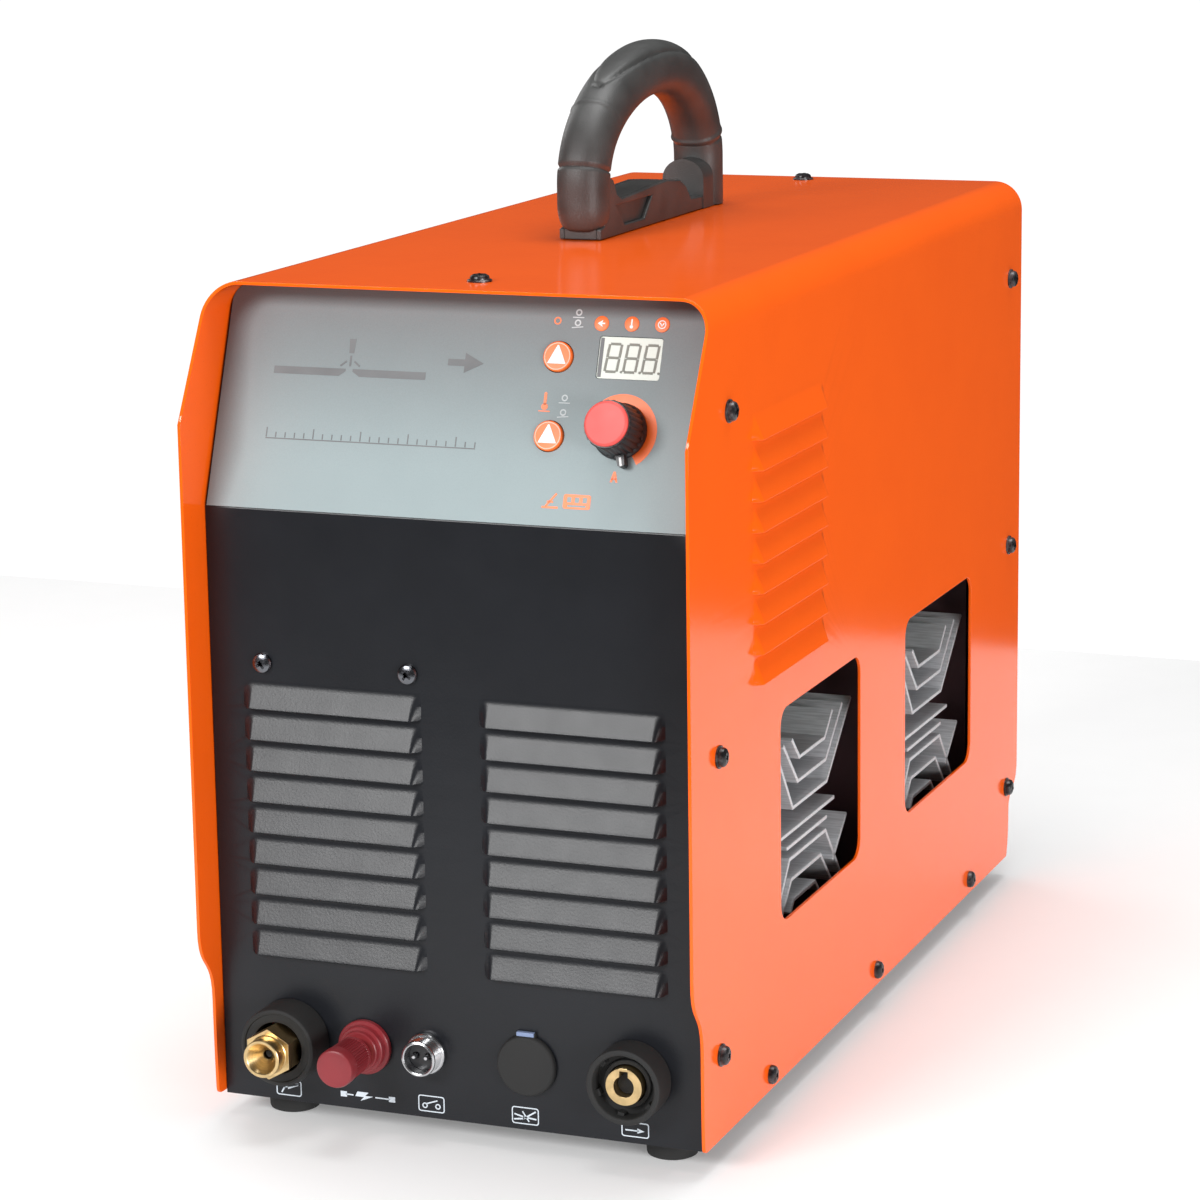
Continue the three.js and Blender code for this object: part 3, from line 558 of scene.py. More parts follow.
class Piece:
    """One named piece under construction, in millimetres on a plane."""

    def __init__(self, name: str, plane: Plane) -> None:
        """Starts an empty piece.

        Args:
            name: The finished object's name.
            plane: The plane that the piece is modelled on.
        """
        self.name = name
        self.plane = plane
        self.shape = bmesh.new()

    @classmethod
    def of_skin(cls, name: str, skin: bmesh.types.BMesh) -> "Piece":
        """Makes a piece of a skin that is already in the cabinet's own axes.

        Args:
            name: The finished object's name.
            skin: A surface without thickness.

        Returns:
            The new piece.
        """
        piece = cls(name, Cabinet.plane(Side.FRONT, (0, 0, 0)))
        bmesh.ops.transform(skin, matrix=piece.plane.matrix().inverted(), verts=skin.verts[:])
        piece.shape.free()
        piece.shape = skin
        return piece

    def absorb(self, part: bmesh.types.BMesh, place: Matrix) -> "Piece":
        """Adds a closed part and frees it.

        Args:
            part: The part's mesh.
            place: Its place on the piece's plane.

        Returns:
            The piece.
        """
        bmesh.ops.remove_doubles(part, verts=part.verts[:], dist=1e-4)
        bmesh.ops.recalc_face_normals(part, faces=part.faces[:])
        bmesh.ops.transform(part, matrix=place, verts=part.verts[:])
        carrier = bpy.data.meshes.new("carrier")
        part.to_mesh(carrier)
        part.free()
        self.shape.from_mesh(carrier)
        bpy.data.meshes.remove(carrier)
        return self

    def turned(self, profile: Sequence[Point2], centre: Sequence[float] = (0, 0, 0), sides: int = 48,
               ring: bool = False) -> "Piece":
        """Adds a shape turned about an axis that points out of the plane.

        Args:
            profile: Pairs of radius and height along the axis.
            centre: The point that the axis starts from.
            sides: Steps in the full turn.
            ring: Whether the profile closes on itself and not on the axis.

        Returns:
            The piece.
        """
        part = bmesh.new()
        line = [part.verts.new((radius, 0, height)) for radius, height in profile]
        pairs = zip(line, line[1:] + line[:1]) if ring else zip(line, line[1:])
        edges = [part.edges.new(pair) for pair in pairs]
        bmesh.ops.spin(part, geom=line + edges, cent=(0, 0, 0), axis=(0, 0, 1), angle=FULL_TURN, steps=sides,
                       use_merge=True, use_duplicate=False)
        return self.absorb(part, Matrix.Translation(centre))

    def plate(self, outline: Sequence[Point2], low: float, high: float,
              holes: Iterable[Sequence[Point2]] = ()) -> "Piece":
        """Adds a flat shape, pushed from one height to another.

        Args:
            outline: The shape's edge.
            low: The height that it starts from.
            high: The height that it reaches.
            holes: The edges of its holes.

        Returns:
            The piece.
        """
        part = bmesh.new()
        fill_loops(part, (outline, *holes), lambda x, y: (x, y, low))
        pushed = bmesh.ops.extrude_face_region(part, geom=part.faces[:])["geom"]
        verts = [item for item in pushed if isinstance(item, bmesh.types.BMVert)]
        bmesh.ops.translate(part, vec=(0, 0, high - low), verts=verts)
        return self.absorb(part, Matrix.Identity(4))

    def block(self, low: Sequence[float], high: Sequence[float], turn: Matrix | None = None) -> "Piece":
        """Adds a box.

        Args:
            low: Its lowest corner.
            high: Its highest corner.
            turn: A turn about the plane's origin, if it has one.

        Returns:
            The piece.
        """
        part = bmesh.new()
        bmesh.ops.create_cube(part, size=1.0)
        size = [b - a for a, b in zip(low, high)]
        middle = [(a + b) / 2 for a, b in zip(low, high)]
        place = Matrix.Translation(middle) @ Matrix.Diagonal((*size, 1.0))
        return self.absorb(part, (turn or Matrix.Identity(4)) @ place)

    def stroke(self, points: Sequence[Point2], width: float, low: float, high: float) -> "Piece":
        """Adds a drawn line, as one flat bar for each stretch.

        Args:
            points: The points that the line runs through.
            width: Its width.
            low: The height that it starts from.
            high: The height that it reaches.

        Returns:
            The piece.
        """
        for start, end in zip(points, points[1:]):
            run = Vector(end) - Vector(start)
            side = Vector((-run.y, run.x)).normalized() * (width / 2)
            tip = run.normalized() * (width / 2)
            a, b = Vector(start) - tip, Vector(end) + tip
            corners = [a - side, b - side, b + side, a + side]
            self.plate([tuple(corner) for corner in corners], low, high)
        return self

    def swept(self, stations: Sequence[Matrix], section: Callable[[int], Sequence[Point2]],
              closed: bool = False) -> "Piece":
        """Adds a section carried along stations.

        Args:
            stations: One matrix for each place of the section, whose Z axis runs along the path.
            section: Gives the section's points at a station's number.
            closed: Whether the last station joins the first.

        Returns:
            The piece.
        """
        part = bmesh.new()
        first = [part.verts.new(stations[0] @ Vector((x, y, 0))) for x, y in section(0)]
        edges = [part.edges.new(pair) for pair in zip(first, first[1:] + first[:1])]
        start = list(edges)
        ring = first
        for number, station in enumerate(stations[1:], 1):
            extruded = bmesh.ops.extrude_edge_only(part, edges=edges)["geom"]
            edges = [item for item in extruded if isinstance(item, bmesh.types.BMEdge)]
            fresh = {item for item in extruded if isinstance(item, bmesh.types.BMVert)}
            ring = [next(e.other_vert(v) for e in v.link_edges if e.other_vert(v) in fresh) for v in ring]
            for vert, (x, y) in zip(ring, section(number)):
                vert.co = station @ Vector((x, y, 0))
        if closed:
            bmesh.ops.bridge_loops(part, edges=edges + start)
        else:
            bmesh.ops.holes_fill(part, edges=edges + start, sides=0)
        return self.absorb(part, Matrix.Identity(4))

    def soften(self, width: float, segments: int = 2, angle: float = 40.0) -> "Piece":
        """Bevels the sharp edges.

        Args:
            width: The bevel's width.
            segments: Its steps.
            angle: Edges that turn by more degrees than this are bevelled.

        Returns:
            The piece.
        """
        limit = math.radians(angle)
        edges = [e for e in self.shape.edges if len(e.link_faces) == 2 and e.calc_face_angle(0) > limit]
        bmesh.ops.bevel(self.shape, geom=edges, offset=width, offset_type="OFFSET", segments=segments,
                        profile=0.5, affect="EDGES", clamp_overlap=True, material=-1)
        return self

    def done(self, finish: Finishes, body: str = "cabinet", replaces: Sequence[str] = (),
             angle: float = 38.0) -> bpy.types.Object:
        """Brings the piece to metres, dresses it and fastens it to its body.

        Args:
            finish: The surface.
            body: The moving body that carries the piece.
            replaces: The frame's nodes that the piece stands for.
            angle: Edges that turn by more degrees than this stay sharp.

        Returns:
            The finished object.
        """
        bmesh.ops.transform(self.shape, matrix=Cabinet.metres() @ self.plane.matrix(), verts=self.shape.verts[:])
        for face in self.shape.faces:
            face.smooth = True
        for edge in self.shape.edges:
            edge.smooth = edge.calc_face_angle(0) < math.radians(angle)
        mesh = bpy.data.meshes.new(self.name)
        self.shape.to_mesh(mesh)
        self.shape.free()
        mesh.materials.append(finish.value.material())
        made = bpy.data.objects.new(self.name, mesh)
        bpy.context.scene.collection.objects.link(made)
        weighted = made.modifiers.new("even_shading", "WEIGHTED_NORMAL")
        weighted.keep_sharp = True
        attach(made, body)
        if replaces:
            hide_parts(*replaces)
        LOG.info("%s: %d faces", self.name, len(mesh.polygons))
        return made


def dress(node: str, finish: Finishes, frame: dict) -> None:
    """Gives a node of the frame a finish and leaves its shape alone.

    Args:
        node: The node's name.
        finish: Its surface.
    """
    materials = frame["nodes"][node].data.materials
    materials.clear()
    materials.append(finish.value.material())


# ---------------------------------------------------------------- sub-assemblies


@dataclass
class Hoods:
    """A column of pressed louver hoods: their flat outline and how far each stands out."""

    count: int
    pitch: float
    length: float
    height: float
    depth: float
    lowest: float
    centres: tuple[float, ...]
    end_slope: float = 5.0

    def rows(self) -> list[tuple[float, float]]:
        """Returns the low and high edge of each hood, from the lowest up."""
        return [(self.lowest + k * self.pitch, self.lowest + k * self.pitch + self.height)
                for k in range(self.count)]

    def across(self) -> list[float]:
        """Returns the places along a hood where its cells meet, closer together at its ends."""
        ramp = [self.end_slope * share for share in (0.0, 0.4, 0.6, 0.72, 0.82, 0.9, 1.0)]
        middle = [self.end_slope + (self.length - 2 * self.end_slope) * k / 5 for k in range(1, 5)]
        return ramp + middle + [self.length - place for place in reversed(ramp)]

    def upward(self) -> list[float]:
        """Returns the heights in a hood where its cells meet, as shares of its height."""
        return [0.0, 0.12, 0.25, 0.5, 0.75, 0.84, 0.92, 1.0]

    def bulge(self, place: float, share: float) -> float:
        """Works out how far a hood stands out: most at its open lower edge, and curving in at its ends.

        Args:
            place: How far along the hood.
            share: How far up it, as a share of its height.

        Returns:
            The distance out of the sheet.
        """
        inwards = max(0.0, min(place, self.length - place))
        end = math.sin(math.pi / 2 * min(1.0, inwards / self.end_slope))
        if share > 0.75:
            return self.depth * end * 0.145 * ((1 - share) / 0.25) ** 2
        return self.depth * end * (1 - 1.14 * share)

    def outlines(self) -> list[list[Point2]]:
        """Returns the flat outline of each hood, its points matching the hood's own rim."""
        loops = []
        for middle in self.centres:
            for low, high in self.rows():
                a, b = middle - self.length / 2, middle + self.length / 2
                along = [a + place for place in self.across()]
                sides = [low + self.height * share for share in self.upward()[1:-1]]
                loops.append([(x, low) for x in along] + [(b, y) for y in sides]
                             + [(x, high) for x in reversed(along)] + [(a, y) for y in reversed(sides)])
        return loops

    def add(self, shape: bmesh.types.BMesh, place: Callable[[float, float, float], Vector]) -> None:
        """Adds the hoods as domed grids that are open along their low edge.

        Args:
            shape: The sheet that takes the hoods.
            place: Gives the point of a place across, up and out of the sheet.
        """
        columns, rows = len(self.across()) - 1, len(self.upward()) - 1
        for middle in self.centres:
            for low, _ in self.rows():
                made = bmesh.ops.create_grid(shape, x_segments=columns, y_segments=rows, size=0.5)["verts"]
                for vert in made:
                    along = self.across()[round((vert.co.x + 0.5) * columns)]
                    share = self.upward()[round((vert.co.y + 0.5) * rows)]
                    vert.co = place(middle - self.length / 2 + along, low + share * self.height,
                                    self.bulge(along, share))


@dataclass
class Cover:
    """The orange wrap of folded sheet with its side windows and louvers."""

    half: float = 120.0
    depth: float = 528.0
    height: float = 375.0
    sheet: float = 1.5
    fold: float = 15.0
    bend_height: float = 315.0
    slope_front: float = 33.5
    step_height: float = 82.0
    windows: tuple[float, float] = (178.0, 372.4)
    window_height: float = 125.5
    window_size: tuple[float, float, float] = (120.0, 101.0, 9.0)
    hoods: Hoods = field(default_factory=lambda: Hoods(
        count=9, pitch=13.8, length=100.0, height=12.0, depth=4.2, lowest=196.1, centres=(130.5,)))

    def side_outline(self) -> list[Point2]:
        """Returns the side wall's outline below the fold, in depth and height."""
        top = self.height - self.fold
        back = curve([(507.5, 0), (510.4, 6), (511.5, 14), (511.5, 26)], 6)
        back += curve([(511.5, 26), (511.5, 39), (self.depth, 34), (self.depth, 50)], 12)
        front = curve([(0, self.step_height), (0, 62), (12.4, 68), (12.4, 46)], 12)
        front += curve([(12.4, 46), (12.4, 30), (12.6, 14), (13, 4)], 6)
        front += curve([(13, 4), (13, 1), (14, 0), (17, 0)], 4)
        line = front + [(17.0 + 490.5 * k / 24, 0.0) for k in range(24)] + back
        line += [(self.depth, 50 + (top - 50) * k / 10) for k in range(10)]
        edge = self.front_edge(top)
        line += [(self.depth + (edge - self.depth) * k / 30, top) for k in range(31)]
        line += [(self.front_edge(z), z) for z in (350, 340, 330, 320)]
        drop = self.bend_height - self.step_height
        line += [(0.0, self.bend_height - drop * k / 12) for k in range(12)]
        return line

    def front_edge(self, height: float) -> float:
        """Returns the depth of the sheet's front edge at a height."""
        rise = max(0.0, height - self.bend_height)
        return self.slope_front * rise / (self.height - self.bend_height)

    def wall(self) -> bmesh.types.BMesh:
        """Returns the right half of the outer skin, as a surface without thickness."""
        skin = bmesh.new()
        windows = [rounded(*self.window_size, (y, self.window_height), 6) for y in self.windows]
        fill_loops(skin, (self.side_outline(), *windows, *self.hoods.outlines()),
                   lambda y, z: (self.half, y, z))
        self.hoods.add(skin, lambda across, up, out: Vector((self.half + out, across, up)))
        top = self.height - self.fold
        rows = [(self.half, top)]
        for k in range(1, 13):
            turn = math.pi / 2 * k / 12
            rows.append((self.half - self.fold * (1 - math.cos(turn)), top + self.fold * math.sin(turn)))
        rows += [((self.half - self.fold) * (1 - k / 4), self.height) for k in range(1, 5)]
        steps = 30
        grid = []
        for x, z in rows:
            edge = self.front_edge(z)
            grid.append([skin.verts.new((x, self.depth + (edge - self.depth) * k / steps, z))
                         for k in range(steps + 1)])
        weave(skin, grid)
        bmesh.ops.remove_doubles(skin, verts=skin.verts[:], dist=1e-3)
        return skin

    def build(self) -> None:
        """Builds the right half of the skin, mirrors it and gives the sheet its thickness."""
        skin = self.wall()
        for vert in skin.verts:
            if abs(vert.co.x) < 1e-3:
                vert.co.x = 0.0
        bmesh.ops.mirror(skin, geom=skin.verts[:] + skin.edges[:] + skin.faces[:], axis="X", merge_dist=1e-3)
        bmesh.ops.recalc_face_normals(skin, faces=skin.faces[:])
        made = Piece.of_skin("orange_cover", skin).done(Finishes.ORANGE, replaces=["cover"], angle=30)
        give_thickness(made, self.sheet)


def give_thickness(made: bpy.types.Object, sheet: float, bevel: float = 0.45) -> None:
    """Thickens a skin inwards and rounds the cut edges of the sheet.

    Args:
        made: The finished skin.
        sheet: The sheet's thickness.
        bevel: The rounding of its cut edges.
    """
    made.modifiers.clear()
    solid = made.modifiers.new("sheet", "SOLIDIFY")
    solid.thickness = sheet * MM
    solid.offset = -1.0
    solid.use_even_offset = True
    rim = made.modifiers.new("rim", "BEVEL")
    rim.width = bevel * MM
    rim.segments = 2
    rim.limit_method = "ANGLE"
    rim.angle_limit = math.radians(60)
    weighted = made.modifiers.new("even_shading", "WEIGHTED_NORMAL")
    weighted.keep_sharp = True


def pan_screw(name: str, plane: Plane, radius: float = 4.4, height: float = 2.6, washer: float = 5.6,
              finish: Finishes = Finishes.BLACK_SCREW, turn: float = 0.3) -> bpy.types.Object:
    """Builds a cross-recessed pan-head screw on its washer.

    Args:
        name: The screw's name.
        plane: The plane that it sits on, with the origin at its middle.
        radius: The head's radius.
        height: The head's height.
        washer: The washer's radius, or 0 without one.
        finish: The surface.
        turn: How far the cross is turned.

    Returns:
        The finished screw.
    """
    screw = Piece(name, plane)
    if washer:
        screw.turned([(radius * 0.5, 0.05), (washer, 0.05), (washer, 0.7), (washer - 0.3, 0.95),
                      (radius * 0.5, 0.95)], ring=True, sides=40)
    base = 0.8 if washer else 0.05
    dome = [(radius, base), (radius, base + height * 0.42), (radius * 0.9, base + height * 0.72),
            (radius * 0.66, base + height * 0.93), (radius * 0.3, base + height)]
    head = bmesh.new()
    rings = [[head.verts.new((x, y, z)) for x, y in circle(r, sides=40)] for r, z in dome]
    weave(head, rings, closed=True)
    arm, slot = radius * 0.56, radius * 0.13
    cross = [(slot, arm), (slot, slot), (arm, slot), (arm, -slot), (slot, -slot), (slot, -arm),
             (-slot, -arm), (-slot, -slot), (-arm, -slot), (-arm, slot), (-slot, slot), (-slot, arm)]
    spun = Matrix.Rotation(turn, 4, "Z")
    rim = [head.verts.new(spun @ Vector((x, y, base + height))) for x, y in cross]
    floor = [head.verts.new(spun @ Vector((x * 0.72, y * 0.72, base + height * 0.3))) for x, y in cross]
    rim_edges = [head.edges.new(pair) for pair in zip(rim, rim[1:] + rim[:1])]
    top_edges = [head.edges.get(pair) for pair in zip(rings[-1], rings[-1][1:] + rings[-1][:1])]
    bmesh.ops.triangle_fill(head, use_beauty=True, use_dissolve=False, edges=rim_edges + top_edges)
    weave(head, (rim, floor), closed=True)
    head.faces.new(floor)
    head.faces.new(rings[0][::-1])
    screw.absorb(head, Matrix.Identity(4))
    return screw.done(finish, angle=30)


@dataclass
class CoverScrews:
    """The black screws that hold the cover on its sides and top."""

    half: float = 120.0
    top: float = 375.0
    side_places: tuple[Point2, ...] = ((51, 324.5), (35, 175), (35, 39), (102, 7.5), (265, 8), (432, 8),
                                       (505.7, 40.6), (506, 178), (505, 325))
    top_depths: tuple[float, ...] = (62, 512)

    def build(self) -> None:
        """Builds nine screws on each side and two on the top."""
        for side, x in ((Side.RIGHT, self.half), (Side.LEFT, -self.half)):
            for k, (y, z) in enumerate(self.side_places):
                plane = Cabinet.plane(side, (x, y, z))
                pan_screw(f"cover_screw_{side.name.lower()}_{k + 1}", plane, washer=0 if z < 10 else 5.2,
                          height=3.1, turn=0.3 + 1.7 * k)
        for k, y in enumerate(self.top_depths):
            pan_screw(f"cover_screw_top_{k + 1}", Cabinet.plane(Side.TOP, (0, y, self.top)), turn=0.5 + k)


@dataclass
class FrontPanel:
    """The folded front sheet: a lower face with louvers, and an upper face that leans back."""

    face: float = 20.0
    sheet: float = 1.6
    bottom: float = -1.5
    bend_height: float = 275.0
    slope_run: float = 0.35
    slope_rise: float = 0.93675
    tilted_length: float = 104.0
    socket_height: float = 29.5
    sockets: tuple[Point2, ...] = ((-83, 12.3), (-46, 5.3), (-16, 7.8), (33.4, 10.3), (84.6, 12.3))
    controls: tuple[tuple[float, float, float], ...] = ((76.6, 43.4, 7.0), (43.8, 75, 6.9), (43.7, 39.9, 6.9),
                                                        (62.1, 90.5, 2.8), (76.1, 90.8, 2.8), (90.1, 91, 2.8))
    hoods: Hoods = field(default_factory=lambda: Hoods(9, 14.45, 87.5, 12.5, 4.5, 68.7, (-58.3, 57.2)))

    def slope(self) -> Plane:
        """Returns the plane of the upper face, with its origin on the bend."""
        up = Vector((0, self.slope_run, self.slope_rise)).normalized()
        return Plane(Vector((0, self.face, self.bend_height)), Vector((1, 0, 0)), up)

    def build(self) -> None:
        """Builds the sheet as one skin with its holes and hoods, then gives it thickness."""
        skin = bmesh.new()
        low, high = Cabinet.box("front_panel")
        half = max(-low.x, high.x)
        lower = stepped([(-half, self.bottom), (half, self.bottom), (half, self.bend_height),
                         (-half, self.bend_height)], 12)
        holes = [circle(r, (x, self.socket_height), 32) for x, r in self.sockets]
        fill_loops(skin, (lower, *holes, *self.hoods.outlines()), lambda x, z: (x, self.face, z))
        self.hoods.add(skin, lambda across, up, out: Vector((across, self.face - out, up)))
        tilt = self.slope().matrix()
        upper = [(half * (2 * k / 12 - 1), 0.0) for k in range(13)]
        corner, length = 12.0, self.tilted_length
        upper += [(half, length * 0.5), (half, length - corner)]
        upper += [(half - corner + corner * math.cos(a), length - corner + corner * math.sin(a))
                  for a in (math.pi / 8, math.pi / 4, 3 * math.pi / 8)]
        upper += [(half - corner, length), (0, length), (corner - half, length)]
        upper += [(corner - half - corner * math.sin(a), length - corner + corner * math.cos(a))
                  for a in (math.pi / 8, math.pi / 4, 3 * math.pi / 8)]
        upper += [(-half, length - corner), (-half, length * 0.5)]
        rings = [circle(r, (x, s), 24) for x, s, r in self.controls]
        fill_loops(skin, (upper, *rings), lambda x, s: tilt @ Vector((x, s, 0)))
        bmesh.ops.remove_doubles(skin, verts=skin.verts[:], dist=1e-3)
        bmesh.ops.recalc_face_normals(skin, faces=skin.faces[:])
        front = next(f for f in skin.faces if abs(f.calc_center_median().y - self.face) < 1e-3)
        if front.normal.y > 0:
            bmesh.ops.reverse_faces(skin, faces=skin.faces[:])
        made = Piece.of_skin("front_sheet", skin).done(Finishes.BLACK_PAINT, replaces=["front_panel"], angle=16)
        give_thickness(made, self.sheet, 0.3)
        for name, x, turn in (("left", -92.0, 0.55), ("right", -20.4, 0.95)):
            plane = Cabinet.plane(Side.FRONT, (x, self.face, 205))
            screw = pan_screw(f"plated_screw_{name}", plane, 4.6, 2.6, 0, Finishes.DARK_PLATING, turn)
            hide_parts(f"panel_screw_{name}")


@dataclass
class Overlay:
    """The printed silver film on the upper face, with its marks, controls and display."""

    panel: FrontPanel = field(default_factory=FrontPanel)
    film_low: float = 0.3
    film_high: float = 1.1
    ink: float = 0.1
    knob: Point2 = (76.6, 43.4)
    buttons: tuple[tuple[str, Point2], ...] = (("upper", (43.8, 75)), ("lower", (43.7, 39.9)))
    lamps: tuple[tuple[str, Point2], ...] = (("power", (62.1, 90.5)), ("heat", (76.1, 90.8)), ("air", (90.1, 91)))
    display: Point2 = (76.7, 75.7)
    display_size: Point2 = (29, 18.5)

    def ink_piece(self, name: str) -> Piece:
        """Starts a piece of print on the film."""
        return Piece(name, self.panel.slope().at(0, 0, self.film_high))

    def film(self) -> None:
        """Builds the film with round upper corners and holes for the controls."""
        low, high = Cabinet.box("panel_overlay")
        half = max(-low.x, high.x)
        length = self.panel.tilted_length - 1.0
        base = 0.6
        corner = 9.0
        outline = [(-half, base), (half, base)]
        outline += [(half - corner + corner * math.cos(a), length - corner + corner * math.sin(a))
                    for a in [math.pi / 2 * k / 8 for k in range(9)]]
        outline += [(corner - half - corner * math.sin(a), length - corner + corner * math.cos(a))
                    for a in [math.pi / 2 * k / 8 for k in range(9)]]
        holes = [circle(7.2, self.knob), *[circle(7.1, place) for _, place in self.buttons],
                 *[circle(2.9, place, 24) for _, place in self.lamps],
                 rounded(self.display_size[0] + 0.4, self.display_size[1] + 0.4, 1.2, self.display)]
        piece = Piece("printed_film_sheet", self.panel.slope())
        piece.plate(outline, self.film_low, self.film_high, holes)
        piece.done(Finishes.FILM, replaces=["panel_overlay"])

    def marks(self) -> None:
        """Prints the scale around the knob, the arrow, the warning signs and the faint symbols."""
        high = self.ink
        x, s = self.knob
        ring = self.ink_piece("knob_scale_print")
        wedge = []
        for k in range(41):
            turn = math.radians(-58 + 190 * k / 40)
            wedge.append((x + 16.6 * math.cos(turn), s + 16.6 * math.sin(turn)))
        for k in range(41):
            turn = math.radians(132 - 190 * k / 40)
            wedge.append((x + 9.0 * math.cos(turn), s + 9.0 * math.sin(turn)))
        ring.plate(wedge, 0, high)
        ring.done(Finishes.SIGNAL)
        arrow = self.ink_piece("arrow_print")
        arrow.plate([(74.2, 21.2), (75.2, 21.2), (76, 24), (76.8, 21.2), (77.8, 21.2), (76.5, 26), (75.5, 26)],
                    0, high)
        arrow.block((74.8, 22.3, 0), (77.2, 23.0, high))
        arrow.done(Finishes.SIGNAL)
        signs = self.ink_piece("warning_print")
        signs.stroke([(44.6, 8.8), (51.2, 8.8)], 0.9, 0, high)
        signs.stroke([(46.2, 9.6), (50.2, 14.6)], 0.9, 0, high)
        signs.block((46.4, 10.8, 0), (49.2, 11.7, high))
        signs.plate(rounded(12.6, 6.4, 1.0, (60.2, 11.8)), 0, high, [rounded(2.1, 2.4, 0.3, (56.6, 12.6)),
                    rounded(2.1, 2.4, 0.3, (60.2, 12.6)), rounded(2.1, 2.4, 0.3, (63.8, 12.6)),
                    rounded(8.6, 0.9, 0.3, (60.2, 9.9))])
        signs.done(Finishes.SIGNAL)
        faint = self.ink_piece("faint_orange_print")
        faint.plate(circle(1.7, (41.5, 91)), 0, high, [circle(1.1, (41.5, 91))])
        faint.plate(circle(1.5, (40, 52.8)), 0, high)
        faint.plate(rounded(1.3, 5.6, 0.6, (40, 56.4)), 0, high)
        faint.stroke([(37.6, 50.8), (42.4, 50.8)], 0.5, 0, high)
        faint.done(Finishes.SIGNAL)
        pale = self.ink_piece("pale_print")
        for k, (px, py) in enumerate(((51, 95), (51, 90.4), (49, 57), (49, 50.6))):
            pale.plate(circle(1.5, (px, py)), 0, high, [circle(0.85, (px, py))])
            pale.stroke([(px - 2.4, py - 2.2), (px + 2.4, py - 2.2 + 0.5 * (k % 2))], 0.45, 0, high)
        pale.done(Finishes.INK_PALE)
        self.name_plate()

    def name_plate(self) -> None:
        """Prints a generic cutting sign where a machine of this kind has its name."""
        high = self.ink
        bold = self.ink_piece("cutting_sign_print")
        bold.plate([(-92, 62), (-60, 62), (-57, 64.2), (-57, 65.4), (-92, 65.4)], 0, high)
        bold.plate([(-50, 62), (-18, 62), (-18, 65.4), (-53.5, 65.4), (-53.5, 64.2)], 0, high)
        bold.plate([(-56.6, 79), (-53.4, 79), (-53.9, 72.5), (-56.1, 72.5)], 0, high)
        bold.stroke([(-55, 71), (-55, 67)], 0.9, 0, high)
        for dx in (-1, 1):
            bold.stroke([(-55 + dx * 2.2, 68.6), (-55 + dx * 4.4, 66.9)], 0.8, 0, high)
        bold.plate([(-8, 69), (0, 69), (0, 66), (9, 70.5), (0, 75), (0, 72), (-8, 72)], 0, high)
        bold.done(Finishes.INK_GREY)
        fine = self.ink_piece("scale_print")
        for k in range(23):
            tall = 4.4 if k % 5 == 0 else 2.4
            fine.block((-92 + k * 4.6, 33, 0), (-91.5 + k * 4.6, 33 + tall, high))
        fine.block((-92, 32.3, 0), (9.7, 32.8, high))
        fine.done(Finishes.INK_GREY)

    def build_buttons(self) -> None:
        """Builds both buttons: an orange disc, a light ring and a white triangle that points up."""
        for name, (x, s) in self.buttons:
            plane = self.panel.slope().at(x, s)
            button = Piece(f"{name}_button_disc", plane)
            button.turned([(0, -2), (6.75, -2), (6.75, 2.2), (6.5, 2.6), (6.1, 2.75), (0, 2.75)])
            button.done(Finishes.SIGNAL, f"button_{name}", [f"button_{name}"], 50)
            ring = Piece(f"{name}_button_ring", plane)
            ring.turned([(5.6, 2.7), (6.1, 2.7), (6.1, 2.85), (5.6, 2.85)], ring=True)
            ring.done(Finishes.PALE, f"button_{name}")
            mark = Piece(f"{name}_button_triangle", plane)
            mark.plate([(-4.3, -3.3), (4.3, -3.3), (0.3, 4.9), (-0.3, 4.9)], 2.7, 2.9)
            mark.done(Finishes.INK_WHITE, f"button_{name}")

    def build_lamps(self) -> None:
        """Builds the three round lamps with their white symbols."""
        for name, (x, s) in self.lamps:
            plane = self.panel.slope().at(x, s)
            lamp = Piece(f"{name}_lamp", plane)
            lamp.turned([(0, 0.4), (2.75, 0.4), (2.75, 1.1), (3.35, 1.12), (3.35, 1.3), (3.1, 1.5), (0, 1.62)])
            lamp.done(Finishes.SIGNAL, replaces=[f"indicator_{name}"], angle=50)
            mark = Piece(f"{name}_lamp_symbol", plane)
            if name == "power":
                mark.plate([(-1.7, 0), (0.7, 1.5), (0.3, 0.3), (1.7, 0.3), (1.7, -0.3), (0.3, -0.3), (0.7, -1.5)],
                           1.5, 1.7)
            elif name == "heat":
                mark.plate(circle(0.75, (0, -1.3)), 1.5, 1.7)
                mark.plate(rounded(0.6, 3.2, 0.28, (0, 0.5)), 1.5, 1.7)
            else:
                mark.plate(circle(1.9), 1.5, 1.7, [circle(1.5)])
                mark.stroke([(-0.8, 0.5), (0, -0.6), (0.8, 0.5)], 0.45, 1.5, 1.7)
            mark.done(Finishes.INK_WHITE)

